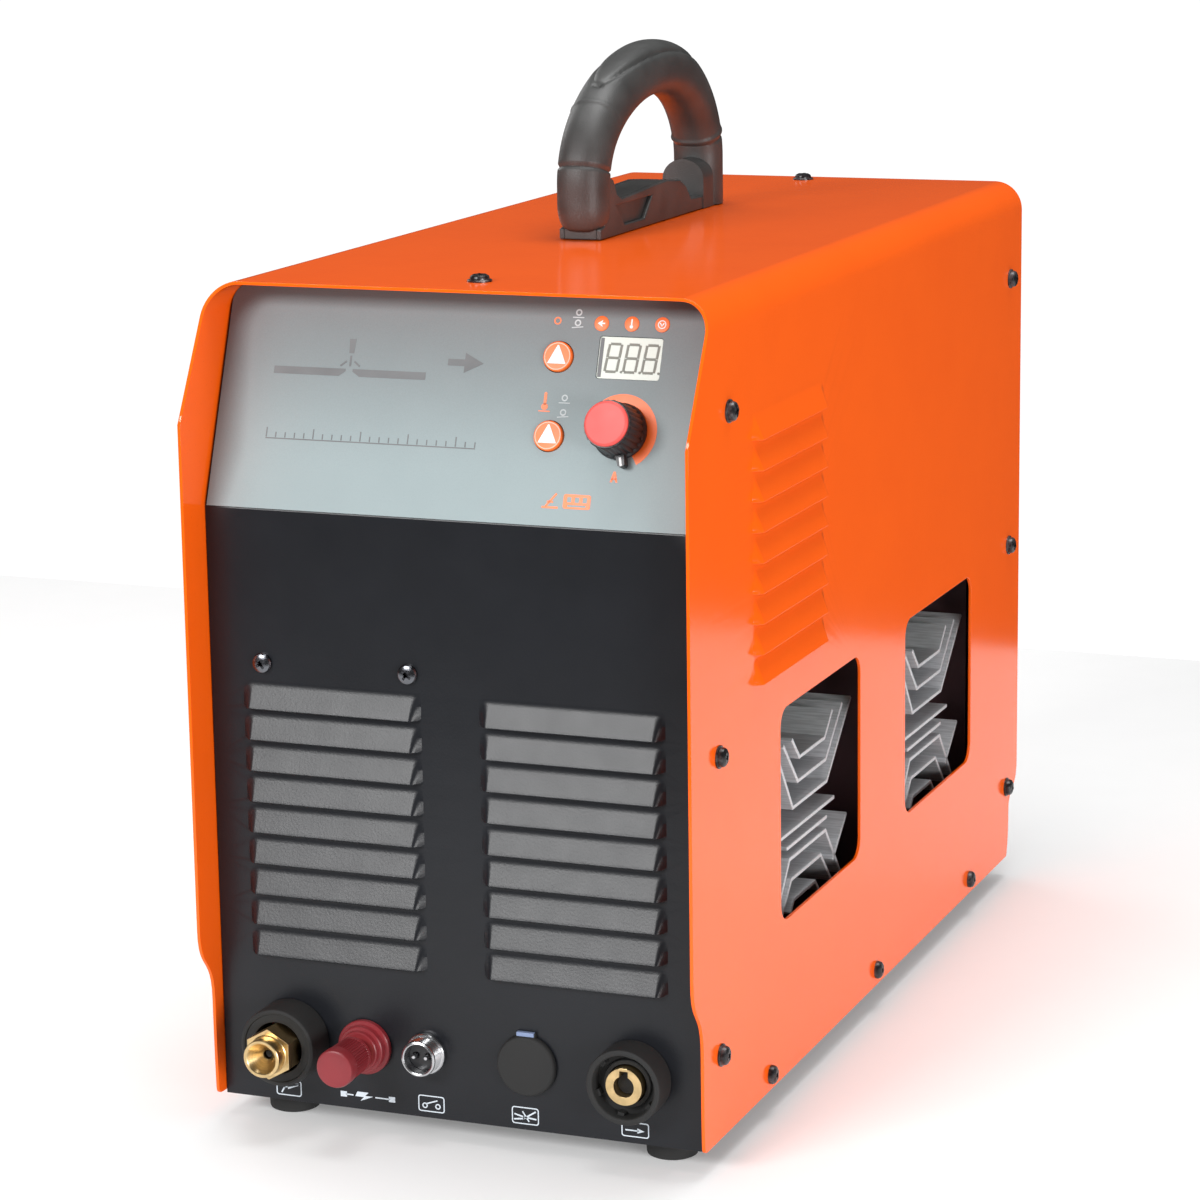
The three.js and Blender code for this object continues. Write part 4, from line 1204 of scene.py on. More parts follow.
    def build_display(self) -> None:
        """Builds the display lens with three slanted digits, every segment drawn in a paler colour."""
        width, height = self.display_size
        plane = self.panel.slope().at(*self.display)
        lens = Piece("display_lens_pane", plane)
        lens.plate(rounded(width, height, 1.0), -1.1, 0.75)
        lens.soften(0.25)
        lens.done(Finishes.LENS, replaces=["display_window"])
        edge = Piece("display_edge", plane)
        edge.block((-width / 2 + 0.3, -height / 2 + 0.6, 0.7), (-width / 2 + 2.0, height / 2 - 0.6, 0.85))
        edge.done(Finishes.INK_GREY)
        digits = Piece("display_digits", plane)
        w, h, bar, lean = 5.6, 12.2, 1.15, 0.10
        for k in (-1, 0, 1):
            base = 1.0 + k * 8.6
            for sx in (-1, 1):
                for sy in (-1, 1):
                    a, b = (base + sx * w / 2, sy * 0.7), (base + sx * w / 2, sy * (h / 2 - 0.7))
                    digits.stroke([(p[0] + lean * p[1], p[1]) for p in (a, b)], bar, 0.74, 0.86)
            for y in (-h / 2, 0, h / 2):
                a, b = (base - w / 2 + 1.0 + lean * y, y), (base + w / 2 - 1.0 + lean * y, y)
                digits.stroke([a, b], bar, 0.74, 0.86)
            digits.plate(circle(0.6, (base + w / 2 + 1.5, -h / 2), 12), 0.74, 0.86)
        digits.done(Finishes.DIGIT)

    def build_knob(self) -> None:
        """Builds the black knob with a fluted skirt, its salmon cap and its pointer."""
        plane = self.panel.slope().at(*self.knob)
        low, high = Cabinet.box("knob_cap")
        top = (plane.matrix().inverted() @ ((low + high) / 2)).z + 1.2
        body = Piece("knob_skirt", plane)
        ribs, sides = 24, 144

        def section(radius: float, depth: float) -> list[Point2]:
            """Returns a fluted circle."""
            points = []
            for k in range(sides):
                turn = FULL_TURN * k / sides
                r = radius - depth * (0.5 + 0.5 * math.cos(turn * ribs)) ** 2
                points.append((r * math.cos(turn), r * math.sin(turn)))
            return points

        levels = [(1.6, 12.3, 0.0), (2.6, 12.5, 0.0), (3.4, 12.1, 0.0), (4.0, 11.6, 0.5), (top - 2.2, 10.9, 0.5),
                  (top - 1.2, 10.6, 0.35), (top - 0.7, 10.3, 0.0)]
        body.swept([Matrix.Translation((0, 0, z)) for z, _, _ in levels],
                   lambda k: section(levels[k][1], levels[k][2]))
        lean = Matrix.Rotation(math.radians(14), 4, "Z")
        tab = [(-2.0, -11.0), (-1.6, -15.8), (-0.9, -16.4), (0.9, -16.4), (1.6, -15.8), (2.0, -11.0)]
        body.plate([tuple((lean @ Vector((*point, 0)))[:2]) for point in tab], 1.6, 6.4)
        body.done(Finishes.BLACK, "knob", ["knob_body"], 40)
        line = Piece("knob_pointer", plane)
        line.block((-0.5, -16.2, 6.3), (0.5, -12.4, 6.5), lean)
        line.done(Finishes.INK_WHITE, "knob")
        cap = Piece("knob_button", plane)
        cap.turned([(0, top - 0.9), (9.7, top - 0.9), (10.0, top - 0.4), (9.85, top + 0.5), (9.1, top + 1.0),
                    (8.5, top + 0.95), (0, top + 0.7)], sides=64)
        cap.done(Finishes.SALMON, "knob", ["knob_cap"], 60)

    def build(self) -> None:
        """Builds the whole control face."""
        self.film()
        self.marks()
        self.build_buttons()
        self.build_lamps()
        self.build_display()
        self.build_knob()


@dataclass
class Handle:
    """The moulded carrying handle: an arch on a bar, with seams, grooves and a lug."""

    middle_x: float = -14.0
    middle_y: float = 302.0
    deck: float = 375.3
    foot: float = 4.0
    half_span: float = 80.0
    spring: float = 400.0
    rise: float = 50.0
    half_width: float = 12.5
    half_thick: float = 12.4
    crown_thick: float = 1.8
    along: int = 260
    around: int = 72

    def path(self, t: float) -> tuple[Vector, Vector]:
        """Returns the centreline's point and direction at a share of its length."""
        leg = self.spring - self.deck - self.foot
        arch = math.pi * (self.half_span + self.rise) / 2
        total = 2 * leg + arch
        run = t * total
        if run < leg:
            return Vector((0, -self.half_span, self.deck + self.foot + run)), Vector((0, 0, 1))
        if run > leg + arch:
            drop = (run - leg - arch) * (leg + self.foot - 0.2) / leg
            return Vector((0, self.half_span, self.spring - drop)), Vector((0, 0, -1))
        turn = math.pi * (run - leg) / arch
        sag = 1.0 - 0.05 * math.sin(2 * turn)
        point = Vector((0, -self.half_span * math.cos(turn), self.spring + self.rise * math.sin(turn) * sag))
        ahead = turn + 0.01
        later = Vector((0, -self.half_span * math.cos(ahead),
                        self.spring + self.rise * math.sin(ahead) * (1.0 - 0.05 * math.sin(2 * ahead))))
        return point, (later - point).normalized()

    def groove(self, t: float, turn: float) -> float:
        """Returns how deep the surface is cut at a share of the length and a turn around the section."""
        total = 250.0
        seam = 1.1 * math.exp(-(((t - 0.128) * total / 0.9) ** 2))
        ridge = -0.55 * math.exp(-(((t - 0.262) * total / 0.9) ** 2)) * max(0.0, math.cos(turn)) ** 0.5
        cut = seam + ridge
        cut += 0.7 * math.exp(-(((t - 0.868) * total) ** 2))
        cut -= 0.6 * math.exp(-(((t - 0.855) * total / 1.6) ** 2))
        start, end = 0.31, 0.74
        if start - 0.01 < t < end + 0.01:
            share = min(1.0, max(0.0, (t - start) / (end - start)))
            spread = math.radians(56) * math.sin(math.pi * share) ** 0.55
            for side in (-1, 1):
                gap = (math.remainder(turn - side * spread, FULL_TURN)) * self.half_width
                cut += 1.0 * math.exp(-((gap / 1.1) ** 2))
        for spot in (0.306, 0.745):
            along = (t - spot) * total
            around = math.remainder(turn, FULL_TURN) * self.half_width
            cut += 1.3 * math.exp(-((along / 1.8) ** 2) - ((around / 1.8) ** 2))
        return cut

    def grip(self) -> None:
        """Builds the arch with its seam, ridge, grooves and the narrower rear web."""
        piece = Piece("handle_arch", Cabinet.plane(Side.TOP, (self.middle_x, self.middle_y, 0)))
        stations, shares = [], []
        for k in range(self.along + 1):
            t = k / self.along
            point, ahead = self.path(t)
            side = Vector((1, 0, 0))
            outward = side.cross(ahead)
            turn = Matrix((outward, side, ahead)).transposed().to_4x4()
            stations.append(Matrix.Translation(point) @ turn)
            shares.append(t)
        sign = 1.0 if (stations[self.along // 2] @ Vector((1, 0, 0)) -
                       stations[self.along // 2] @ Vector((0, 0, 0))).z > 0 else -1.0

        def section(number: int) -> list[Point2]:
            """Returns the rounded section at one station."""
            t = shares[number]
            foot = 1.0
            if t < 0.05:
                foot = 0.6 + 0.4 * math.sqrt(max(0.0, 1 - (1 - t / 0.05) ** 2))
            web = 1.0 if t < 0.872 else 0.80
            thick = self.half_thick + self.crown_thick * math.sin(math.pi * t) ** 2
            points = []
            for j in range(self.around):
                turn = FULL_TURN * j / self.around
                c, s = math.cos(turn), math.sin(turn)
                power = 2 / 2.35
                x = math.copysign(abs(c) ** power, c) * thick * foot
                y = math.copysign(abs(s) ** power, s) * self.half_width * foot
                if c < 0:
                    x *= web * (0.92 if t < 0.872 else 1.0)
                length = math.hypot(x, y)
                keep = (length - self.groove(t, turn)) / length
                points.append((sign * x * keep, y * keep))
            return points

        piece.swept(stations, section)
        piece.done(Finishes.HANDLE, replaces=["handle_grip"], angle=42)

    def bar(self) -> None:
        """Builds the bar on the cover, with a recess in each side, and the lug before the rear leg."""
        plane = Cabinet.plane(Side.RIGHT, (self.middle_x, self.middle_y, self.deck))
        front, rear = -self.half_span + self.half_thick - 1.2, self.half_span - self.half_thick * 0.8
        outline = [(front - 17, 0.0), (rear, 0.0), (rear, 6.0), (40, 7.0), (33, 14.0), (24, 18.0), (6, 19.6),
                   (-12, 19.2), (-30, 18.2), (front + 12, 17.0), (front + 5, 20.0), (front + 1, 27.0),
                   (front - 6, 30.0), (front - 12, 6.0), (front - 17, 5.0)]
        core = Piece("handle_base_bar", plane)
        core.plate(outline, -8.4, 8.4)
        recess = [(front + 4, 14.4), (front + 15, 4.2), (front + 42, 4.2), (front + 53, 14.4)]
        for low, high in ((8.3, 10.8), (-10.8, -8.3)):
            core.plate(outline, low, high, [recess])
        core.soften(0.7, 3, 25)
        core.done(Finishes.HANDLE, replaces=["handle_bar"], angle=36)
        lug = Piece("handle_lug", Cabinet.plane(Side.FRONT, (self.middle_x, self.middle_y + rear - 10, self.deck)))
        face = [(-11.2, 0.0), (11.2, 0.0), (11.2, 15.0)]
        face += [(11.2 * math.cos(a), 15.0 + 10.0 * math.sin(a)) for a in [math.pi * k / 24 for k in range(1, 24)]]
        face += [(-11.2, 15.0)]
        lug.plate(face, -12.0, 3.0)
        lug.soften(1.6, 4, 50)
        lug.done(Finishes.HANDLE, angle=36)

    def build(self) -> None:
        """Builds the arch and its bar."""
        self.grip()
        self.bar()


@dataclass
class Sockets:
    """The torch union, the red binding post, the two-pin socket, the blanking cap and the work-lead socket."""

    height: float = 29.5
    seat: float = -19.8
    torch_x: float = -83.0
    post_x: float = -46.0
    pins_x: float = -16.0
    blank_x: float = 33.4
    output_x: float = 84.6

    def place(self, x: float) -> Plane:
        """Returns a plane that faces the front at a socket's middle, with heights measured out from depth 0."""
        return Cabinet.plane(Side.FRONT, (x, 0, self.height))

    def torch(self) -> None:
        """Builds the torch union: a black collar, a brass hexagon and a nose with a flared bore."""
        collar = Piece("torch_collar_ring", self.place(self.torch_x))
        collar.turned([(12.2, self.seat), (18.0, self.seat), (18.5, self.seat + 0.5), (18.5, -4.4), (18.0, -3.2),
                       (17.0, -2.6), (16.2, -2.7), (15.8, -3.3), (12.7, -3.3), (12.2, -3.6)], sides=96, ring=True)
        collar.done(Finishes.RUBBER, replaces=["torch_collar"], angle=35)
        brass = Piece("torch_union_brass", self.place(self.torch_x))
        brass.turned([(2.3, -40), (11.8, -40), (12.3, -39), (12.3, -26), (10.2, -25), (10.2, -4), (2.3, -4)],
                     sides=64, ring=True)
        brass.plate(circle(12.0, sides=6, start=math.pi / 6), -5.0, 6.0, [circle(2.3, sides=32)])
        brass.turned([(2.3, 5.3), (9.2, 5.3), (9.2, 6.1), (8.8, 6.5), (8.8, 12.7), (8.5, 13.0), (7.4, 13.0),
                      (6.9, 12.6), (2.9, 6.4), (2.3, 5.9)], sides=64, ring=True)
        brass.soften(0.25, 2, 50)
        brass.done(Finishes.BRASS, replaces=["torch_connector"], angle=34)
        # A dark plug of painted shade deep in the nose's bore.
        bore = Piece("torch_bore_painted_shade", self.place(self.torch_x))
        bore.turned([(0, -38), (2.2, -38), (2.2, 3.6), (1.6, 4.4), (0, 4.0)], sides=32)
        bore.done(Finishes.PAINTED_SHADE)

    def post(self) -> None:
        """Builds the binding post: a stepped base, a brass ring and a knurled cap on its stud."""
        plane = self.place(self.post_x)
        base = Piece("post_flange", plane)
        base.turned([(3.4, -30), (5, -30), (5, self.seat), (12.2, self.seat), (12.7, -19.3), (12.7, -17.0),
                     (12.2, -16.5), (11.0, -16.4), (10.8, -15.2), (10.8, -13.6), (10.4, -13.2), (9.4, -13.1),
                     (9.2, -11.0), (8.8, -10.6), (3.4, -10.6)], sides=72, ring=True)
        base.done(Finishes.RED, replaces=["post_base"], angle=35)
        ferrule = Piece("post_brass_ring", plane)
        ferrule.turned([(3.4, -10.1), (6.2, -10.1), (6.5, -9.8), (6.5, -7.6), (6.2, -7.3), (3.4, -7.3)],
                       sides=48, ring=True)
        ferrule.done(Finishes.BRASS, "post_ferrule", ["post_ferrule"])
        cap = Piece("post_knurled_cap", plane)
        ribs, sides = 44, 176

        def ribbed(radius: float, depth: float) -> list[Point2]:
            """Returns a circle with fine ribs."""
            turns = [FULL_TURN * k / sides for k in range(sides)]
            radii = [radius - depth * (0.5 - 0.5 * math.cos(turn * ribs)) for turn in turns]
            return [(r * math.cos(turn), r * math.sin(turn)) for r, turn in zip(radii, turns)]

        levels = [(-6.9, 7.9, 0.0), (-6.6, 8.4, 0.0), (-5.0, 8.4, 0.0), (-4.7, 8.5, 0.5), (7.4, 8.7, 0.5),
                  (7.9, 8.3, 0.1), (8.6, 8.3, 0.0), (9.0, 9.0, 0.0), (13.2, 9.0, 0.0), (14.3, 8.5, 0.0),
                  (14.8, 7.6, 0.0), (14.97, 5.0, 0.0)]
        cap.swept([Matrix.Translation((0, 0, z)) for z, _, _ in levels],
                  lambda k: ribbed(levels[k][1], levels[k][2]))
        cap.done(Finishes.RED, "post_cap", ["post_cap"], 34)

    def pin_socket(self) -> None:
        """Builds the plated two-pin socket."""
        plane = self.place(self.pins_x)
        shell = Piece("pin_socket_ring", plane)
        profile = [(6.6, -34), (7.6, -34), (7.6, self.seat), (9.3, self.seat), (9.6, -19.5), (9.6, -17.6),
                   (9.2, -17.1), (8.4, -16.9)]
        for k in range(7):
            profile += [(8.4, -16.6 + 0.8 * k), (8.1, -16.2 + 0.8 * k)]
        profile += [(8.4, -10.8), (8.1, -10.2), (7.4, -9.9), (6.9, -10.2), (6.6, -10.8)]
        shell.turned(profile, sides=72, ring=True)
        shell.done(Finishes.CHROME, replaces=["pin_socket_shell"], angle=30)
        insert = Piece("pin_socket_core", plane)
        notch = math.radians(30)
        face = [p for p in circle(6.45, sides=60) if abs(math.atan2(p[1], p[0]) - notch) > 0.18]
        cut = [(4.9 * math.cos(notch + d), 4.9 * math.sin(notch + d)) for d in (-0.2, 0.2)]
        order = sorted(face + cut, key=lambda p: math.atan2(p[1], p[0]))
        insert.plate(order, -33.5, -15.1, [circle(1.8, (x, 0.2), 20) for x in (-3, 3)])
        insert.turned([(0, -33), (6.0, -33), (6.0, -16.6), (0, -16.6)])
        insert.done(Finishes.BLACK, replaces=["pin_socket_insert"])
        pins = Piece("pin_socket_pins", plane)
        for x in (-3, 3):
            pins.turned([(0, -20), (1.15, -20), (1.15, -12.4), (0.8, -11.8), (0, -11.6)], (x, 0.2, 0), 24)
        pins.done(Finishes.CHROME)

    def blanking(self) -> None:
        """Builds the cap that closes the spare hole, with its bright release tab."""
        plane = self.place(self.blank_x)
        cap = Piece("blanking_disc", plane)
        cap.turned([(0, -27), (10, -27), (10, self.seat), (14.0, self.seat), (14.2, -19.4), (14.1, -18.2),
                    (13.6, -17.2), (12.6, -16.6), (0, -16.2)], sides=96)
        cap.block((-4.6, 12.0, self.seat), (4.6, 15.6, -17.9))
        cap.done(Finishes.RUBBER, replaces=["blanking_cap"], angle=40)
        tab = Piece("blanking_tab", plane)
        tab.block((-4.2, 13.9, -19.6), (4.2, 15.9, -17.2))
        tab.soften(0.4)
        tab.done(Finishes.TAB)

    def output(self) -> None:
        """Builds the work-lead socket: a deep collar, an inner wall with notches and a keyed brass bush."""
        plane = self.place(self.output_x)
        collar = Piece("output_collar_ring", plane)
        collar.turned([(9.3, -41), (12, -41), (12, self.seat), (17.2, self.seat), (17.5, -19.4), (17.5, -6.0),
                       (17.1, -5.2), (16.4, -4.9), (15.3, -4.9), (14.8, -5.2), (14.4, -6.0), (14.2, -12.4),
                       (9.3, -12.4)], sides=96, ring=True)
        for k in range(6):
            turn = Matrix.Rotation(math.radians(20 + 60 * k), 4, "Z")
            collar.block((12.9, -1.5, -12.6), (14.5, 1.5, -8.6), turn)
        collar.turned([(9.2, -13), (11.2, -13), (11.2, -11.2), (10.8, -10.8), (9.2, -10.8)], sides=72, ring=True)
        collar.done(Finishes.RUBBER, replaces=["output_collar"], angle=34)
        bush = Piece("output_brass_bush", plane)
        hole = []
        for k in range(49):
            turn = math.radians(114 + 312 * k / 48)
            hole.append((4.7 * math.cos(turn), 4.7 * math.sin(turn)))
        hole += [(1.9, 7.0), (-1.9, 7.0)]
        bush.plate(circle(8.6, sides=72), -40, -6.3, [hole])
        bush.turned([(0, -45), (8.0, -45), (8.0, -30), (0, -30)])
        bush.soften(0.4, 2, 50)
        bush.done(Finishes.BRASS, replaces=["output_contact"], angle=34)
        # A dark plug of painted shade deep in the bush's keyed hole.
        bore_shade = Piece("output_bore_painted_shade", plane)
        bore_shade.plate([(0.95 * x, 0.95 * y) for x, y in hole], -29, -11)
        bore_shade.done(Finishes.PAINTED_SHADE)

    def marks(self) -> None:
        """Prints the framed symbols under the sockets."""
        plane = Cabinet.plane(Side.FRONT, (0, 20, 0))
        ink = Piece("socket_symbols", plane)
        high = 0.12
        for x, z, w, h in ((-86.0, 4.6, 12.8, 7.6), (-14.3, 5.3, 13.0, 7.8), (31.8, 5.2, 13.1, 8.1),
                           (84.6, 5.0, 13.1, 7.0)):
            ink.plate(rounded(w, h, 1.3, (x, z)), 0, high, [rounded(w - 1.0, h - 1.0, 0.9, (x, z))])
        ink.stroke([(-89.6, 2.4), (-88.2, 4.8), (-81.6, 6.6)], 0.7, 0, high)
        ink.plate([(-86.5, 3.9), (-81.4, 6.0), (-81.4, 7.2), (-86.8, 5.3)], 0, high)
        for dx in (-3.2, 3.2):
            ink.plate(circle(1.35, (-14.3 + dx, 4.3), 20), 0, high, [circle(0.8, (-14.3 + dx, 4.3), 20)])
        ink.stroke([(-16.4, 5.3), (-11.6, 7.0)], 0.6, 0, high)
        ink.stroke([(26.6, 3.2), (31.0, 3.8), (36.6, 7.4)], 0.7, 0, high)
        ink.stroke([(26.8, 5.6), (31.0, 4.6), (36.8, 4.0)], 0.7, 0, high)
        ink.stroke([(30.6, 7.0), (33.4, 2.8)], 0.6, 0, high)
        ink.stroke([(80.2, 4.6), (86.0, 4.6)], 0.6, 0, high)
        ink.plate([(85.6, 3.4), (89.0, 4.6), (85.6, 5.8)], 0, high)
        for x in (-58.4, -33.7):
            ink.stroke([(x, 5.0), (x + 0.5 if x < -50 else x - 0.5, 5.0)], 2.6, 0, high)
        bolt = [(-51.2, 6.9), (-45.6, 6.9), (-47.4, 5.2), (-43.4, 5.2), (-49.8, 2.6), (-48.0, 4.6), (-52.4, 4.6)]
        ink.plate(bolt, 0, high)
        ink.stroke([(-56.6, 5.0), (-53.6, 5.0)], 0.6, 0, high)
        ink.stroke([(-42.0, 5.0), (-35.4, 5.0)], 0.6, 0, high)
        ink.done(Finishes.LABEL)

    def build(self) -> None:
        """Builds every socket and its symbol."""
        self.torch()
        self.post()
        self.pin_socket()
        self.blanking()
        self.output()
        self.marks()


@dataclass
class HeatSinks:
    """The bare aluminium extrusions behind the side windows: nested bent fins on a middle web."""

    fin: float = 1.9
    inner: float = 16.0
    web_inset: float = 26.0
    centres: tuple[tuple[str, float], ...] = (("front", 186.0), ("rear", 380.0))
    plates: tuple[tuple[Point2, ...], ...] = (
        ((-48, 151), (-24, 118), (27, 118), (65, 151)),
        ((-37, 151), (-16, 129), (26, 129), (52, 151)),
        ((-24, 151), (-13, 140), (25, 140), (37, 151)),
        ((-52, 67), (-29, 94), (25, 94), (48, 67)),
        ((-42, 67), (-26, 83.5), (18, 83.5), (34, 67)),
        ((-27, 67), (-22, 72.5), (10, 72.5), (15.5, 67)),
        ((36, 76), (58, 94)),
        ((-42, 107), (39, 107)),
        ((-32, 100), (28, 100)),
    )

    def ribbon(self, line: Sequence[Point2]) -> list[Point2]:
        """Returns the outline of a bent plate of even thickness along a line of points."""
        points = [Vector(point) for point in line]
        sides: list[list[Point2]] = [[], []]
        for k, point in enumerate(points):
            before = (point - points[k - 1]).normalized() if k else (points[1] - point).normalized()
            after = (points[k + 1] - point).normalized() if k + 1 < len(points) else before
            along = (before + after).normalized()
            normal = Vector((-along.y, along.x))
            reach = self.fin / 2 / max(0.5, along.dot(after))
            for side, sign in ((0, 1), (1, -1)):
                sides[side].append(tuple(point + normal * (sign * reach)))
        return sides[0] + sides[1][::-1]

    def one(self, row: str, centre: float, side: Side) -> None:
        """Builds one extrusion on one side of the cabinet."""
        node = f"heat_sink_{row}_{side.name.lower()}"
        low, high = Cabinet.box(node)
        reach = high.x if side is Side.RIGHT else -low.x
        sign = 1 if side is Side.RIGHT else -1
        plane = Cabinet.plane(side, (0, centre, 0))
        piece = Piece(f"{node}_extrusion", plane)
        for number, line in enumerate(self.plates):
            outline = [(sign * y, z) for y, z in self.ribbon(line)]
            piece.plate(outline, self.inner, reach - 0.15 * (number % 3))
        piece.block((-4, 66.5, self.inner), (4, 150.8, reach - self.web_inset))
        piece.soften(0.22, 1, 35)
        piece.done(Finishes.ALUMINIUM, replaces=[node], angle=30)

    def shade_sheet(self, name: str, side: Side, depth: float, inner: float) -> None:
        """Builds a dark folded sheet of painted shade behind an extrusion, which darkens the inside seen through the
        side window.
        """
        # A sheet of painted shade, standing where the inside is only in shade.
        sheet = Piece(f"air_baffle_{name}_{side.name.lower()}", Cabinet.plane(side, (0, depth, 0)))
        sheet.block((-0.6, 22, inner), (0.6, 198, 110))
        sheet.block((-5, 198.3, inner), (5, 199.5, 110))
        sheet.done(Finishes.DUCT)

    def build(self) -> None:
        """Builds two extrusions and two dark sheets of painted shade on each side."""
        for side in (Side.RIGHT, Side.LEFT):
            for row, centre in self.centres:
                self.one(row, centre, side)
            self.shade_sheet("middle", side, 268, 18)
            self.shade_sheet("rear", side, 458, 44)


@dataclass
class Feet:
    """The four rubber feet, each with a moulded ring and its screw."""

    def build(self) -> None:
        """Builds the feet on their places."""
        for row in ("front", "rear"):
            for side in ("left", "right"):
                node = f"foot_{row}_{side}"
                low, high = Cabinet.box(node)
                top, radius = high.z - low.z, (high.x - low.x) / 2
                foot = Piece(f"rubber_{node}", Cabinet.plane(Side.TOP, ((low.x + high.x) / 2,
                                                                       (low.y + high.y) / 2, low.z)))
                foot.turned([(4.2, 2.6), (4.4, 0.5), (5.0, 0), (radius - 2.6, 0), (radius - 1.6, 0.5),
                             (radius - 1.3, 1.4), (radius - 1.1, top * 0.4), (radius - 0.6, top * 0.46),
                             (radius - 0.6, top * 0.54), (radius, top * 0.6), (radius, top - 0.8),
                             (radius - 0.6, top), (3.0, top), (3.0, 2.6)], sides=72, ring=True)
                foot.done(Finishes.RUBBER, replaces=[node], angle=40)
                screw = Piece(f"{node}_screw", Cabinet.plane(Side.BOTTOM, ((low.x + high.x) / 2,
                                                                          (low.y + high.y) / 2, low.z)))
                screw.turned([(0, -top + 1), (1.9, -top + 1), (1.9, -2.5), (3.9, -2.4), (3.9, -1.3), (3.2, -0.5),
                              (1.3, -0.3), (1.2, -1.2), (0, -1.2)], sides=32)
                screw.done(Finishes.ZINC)


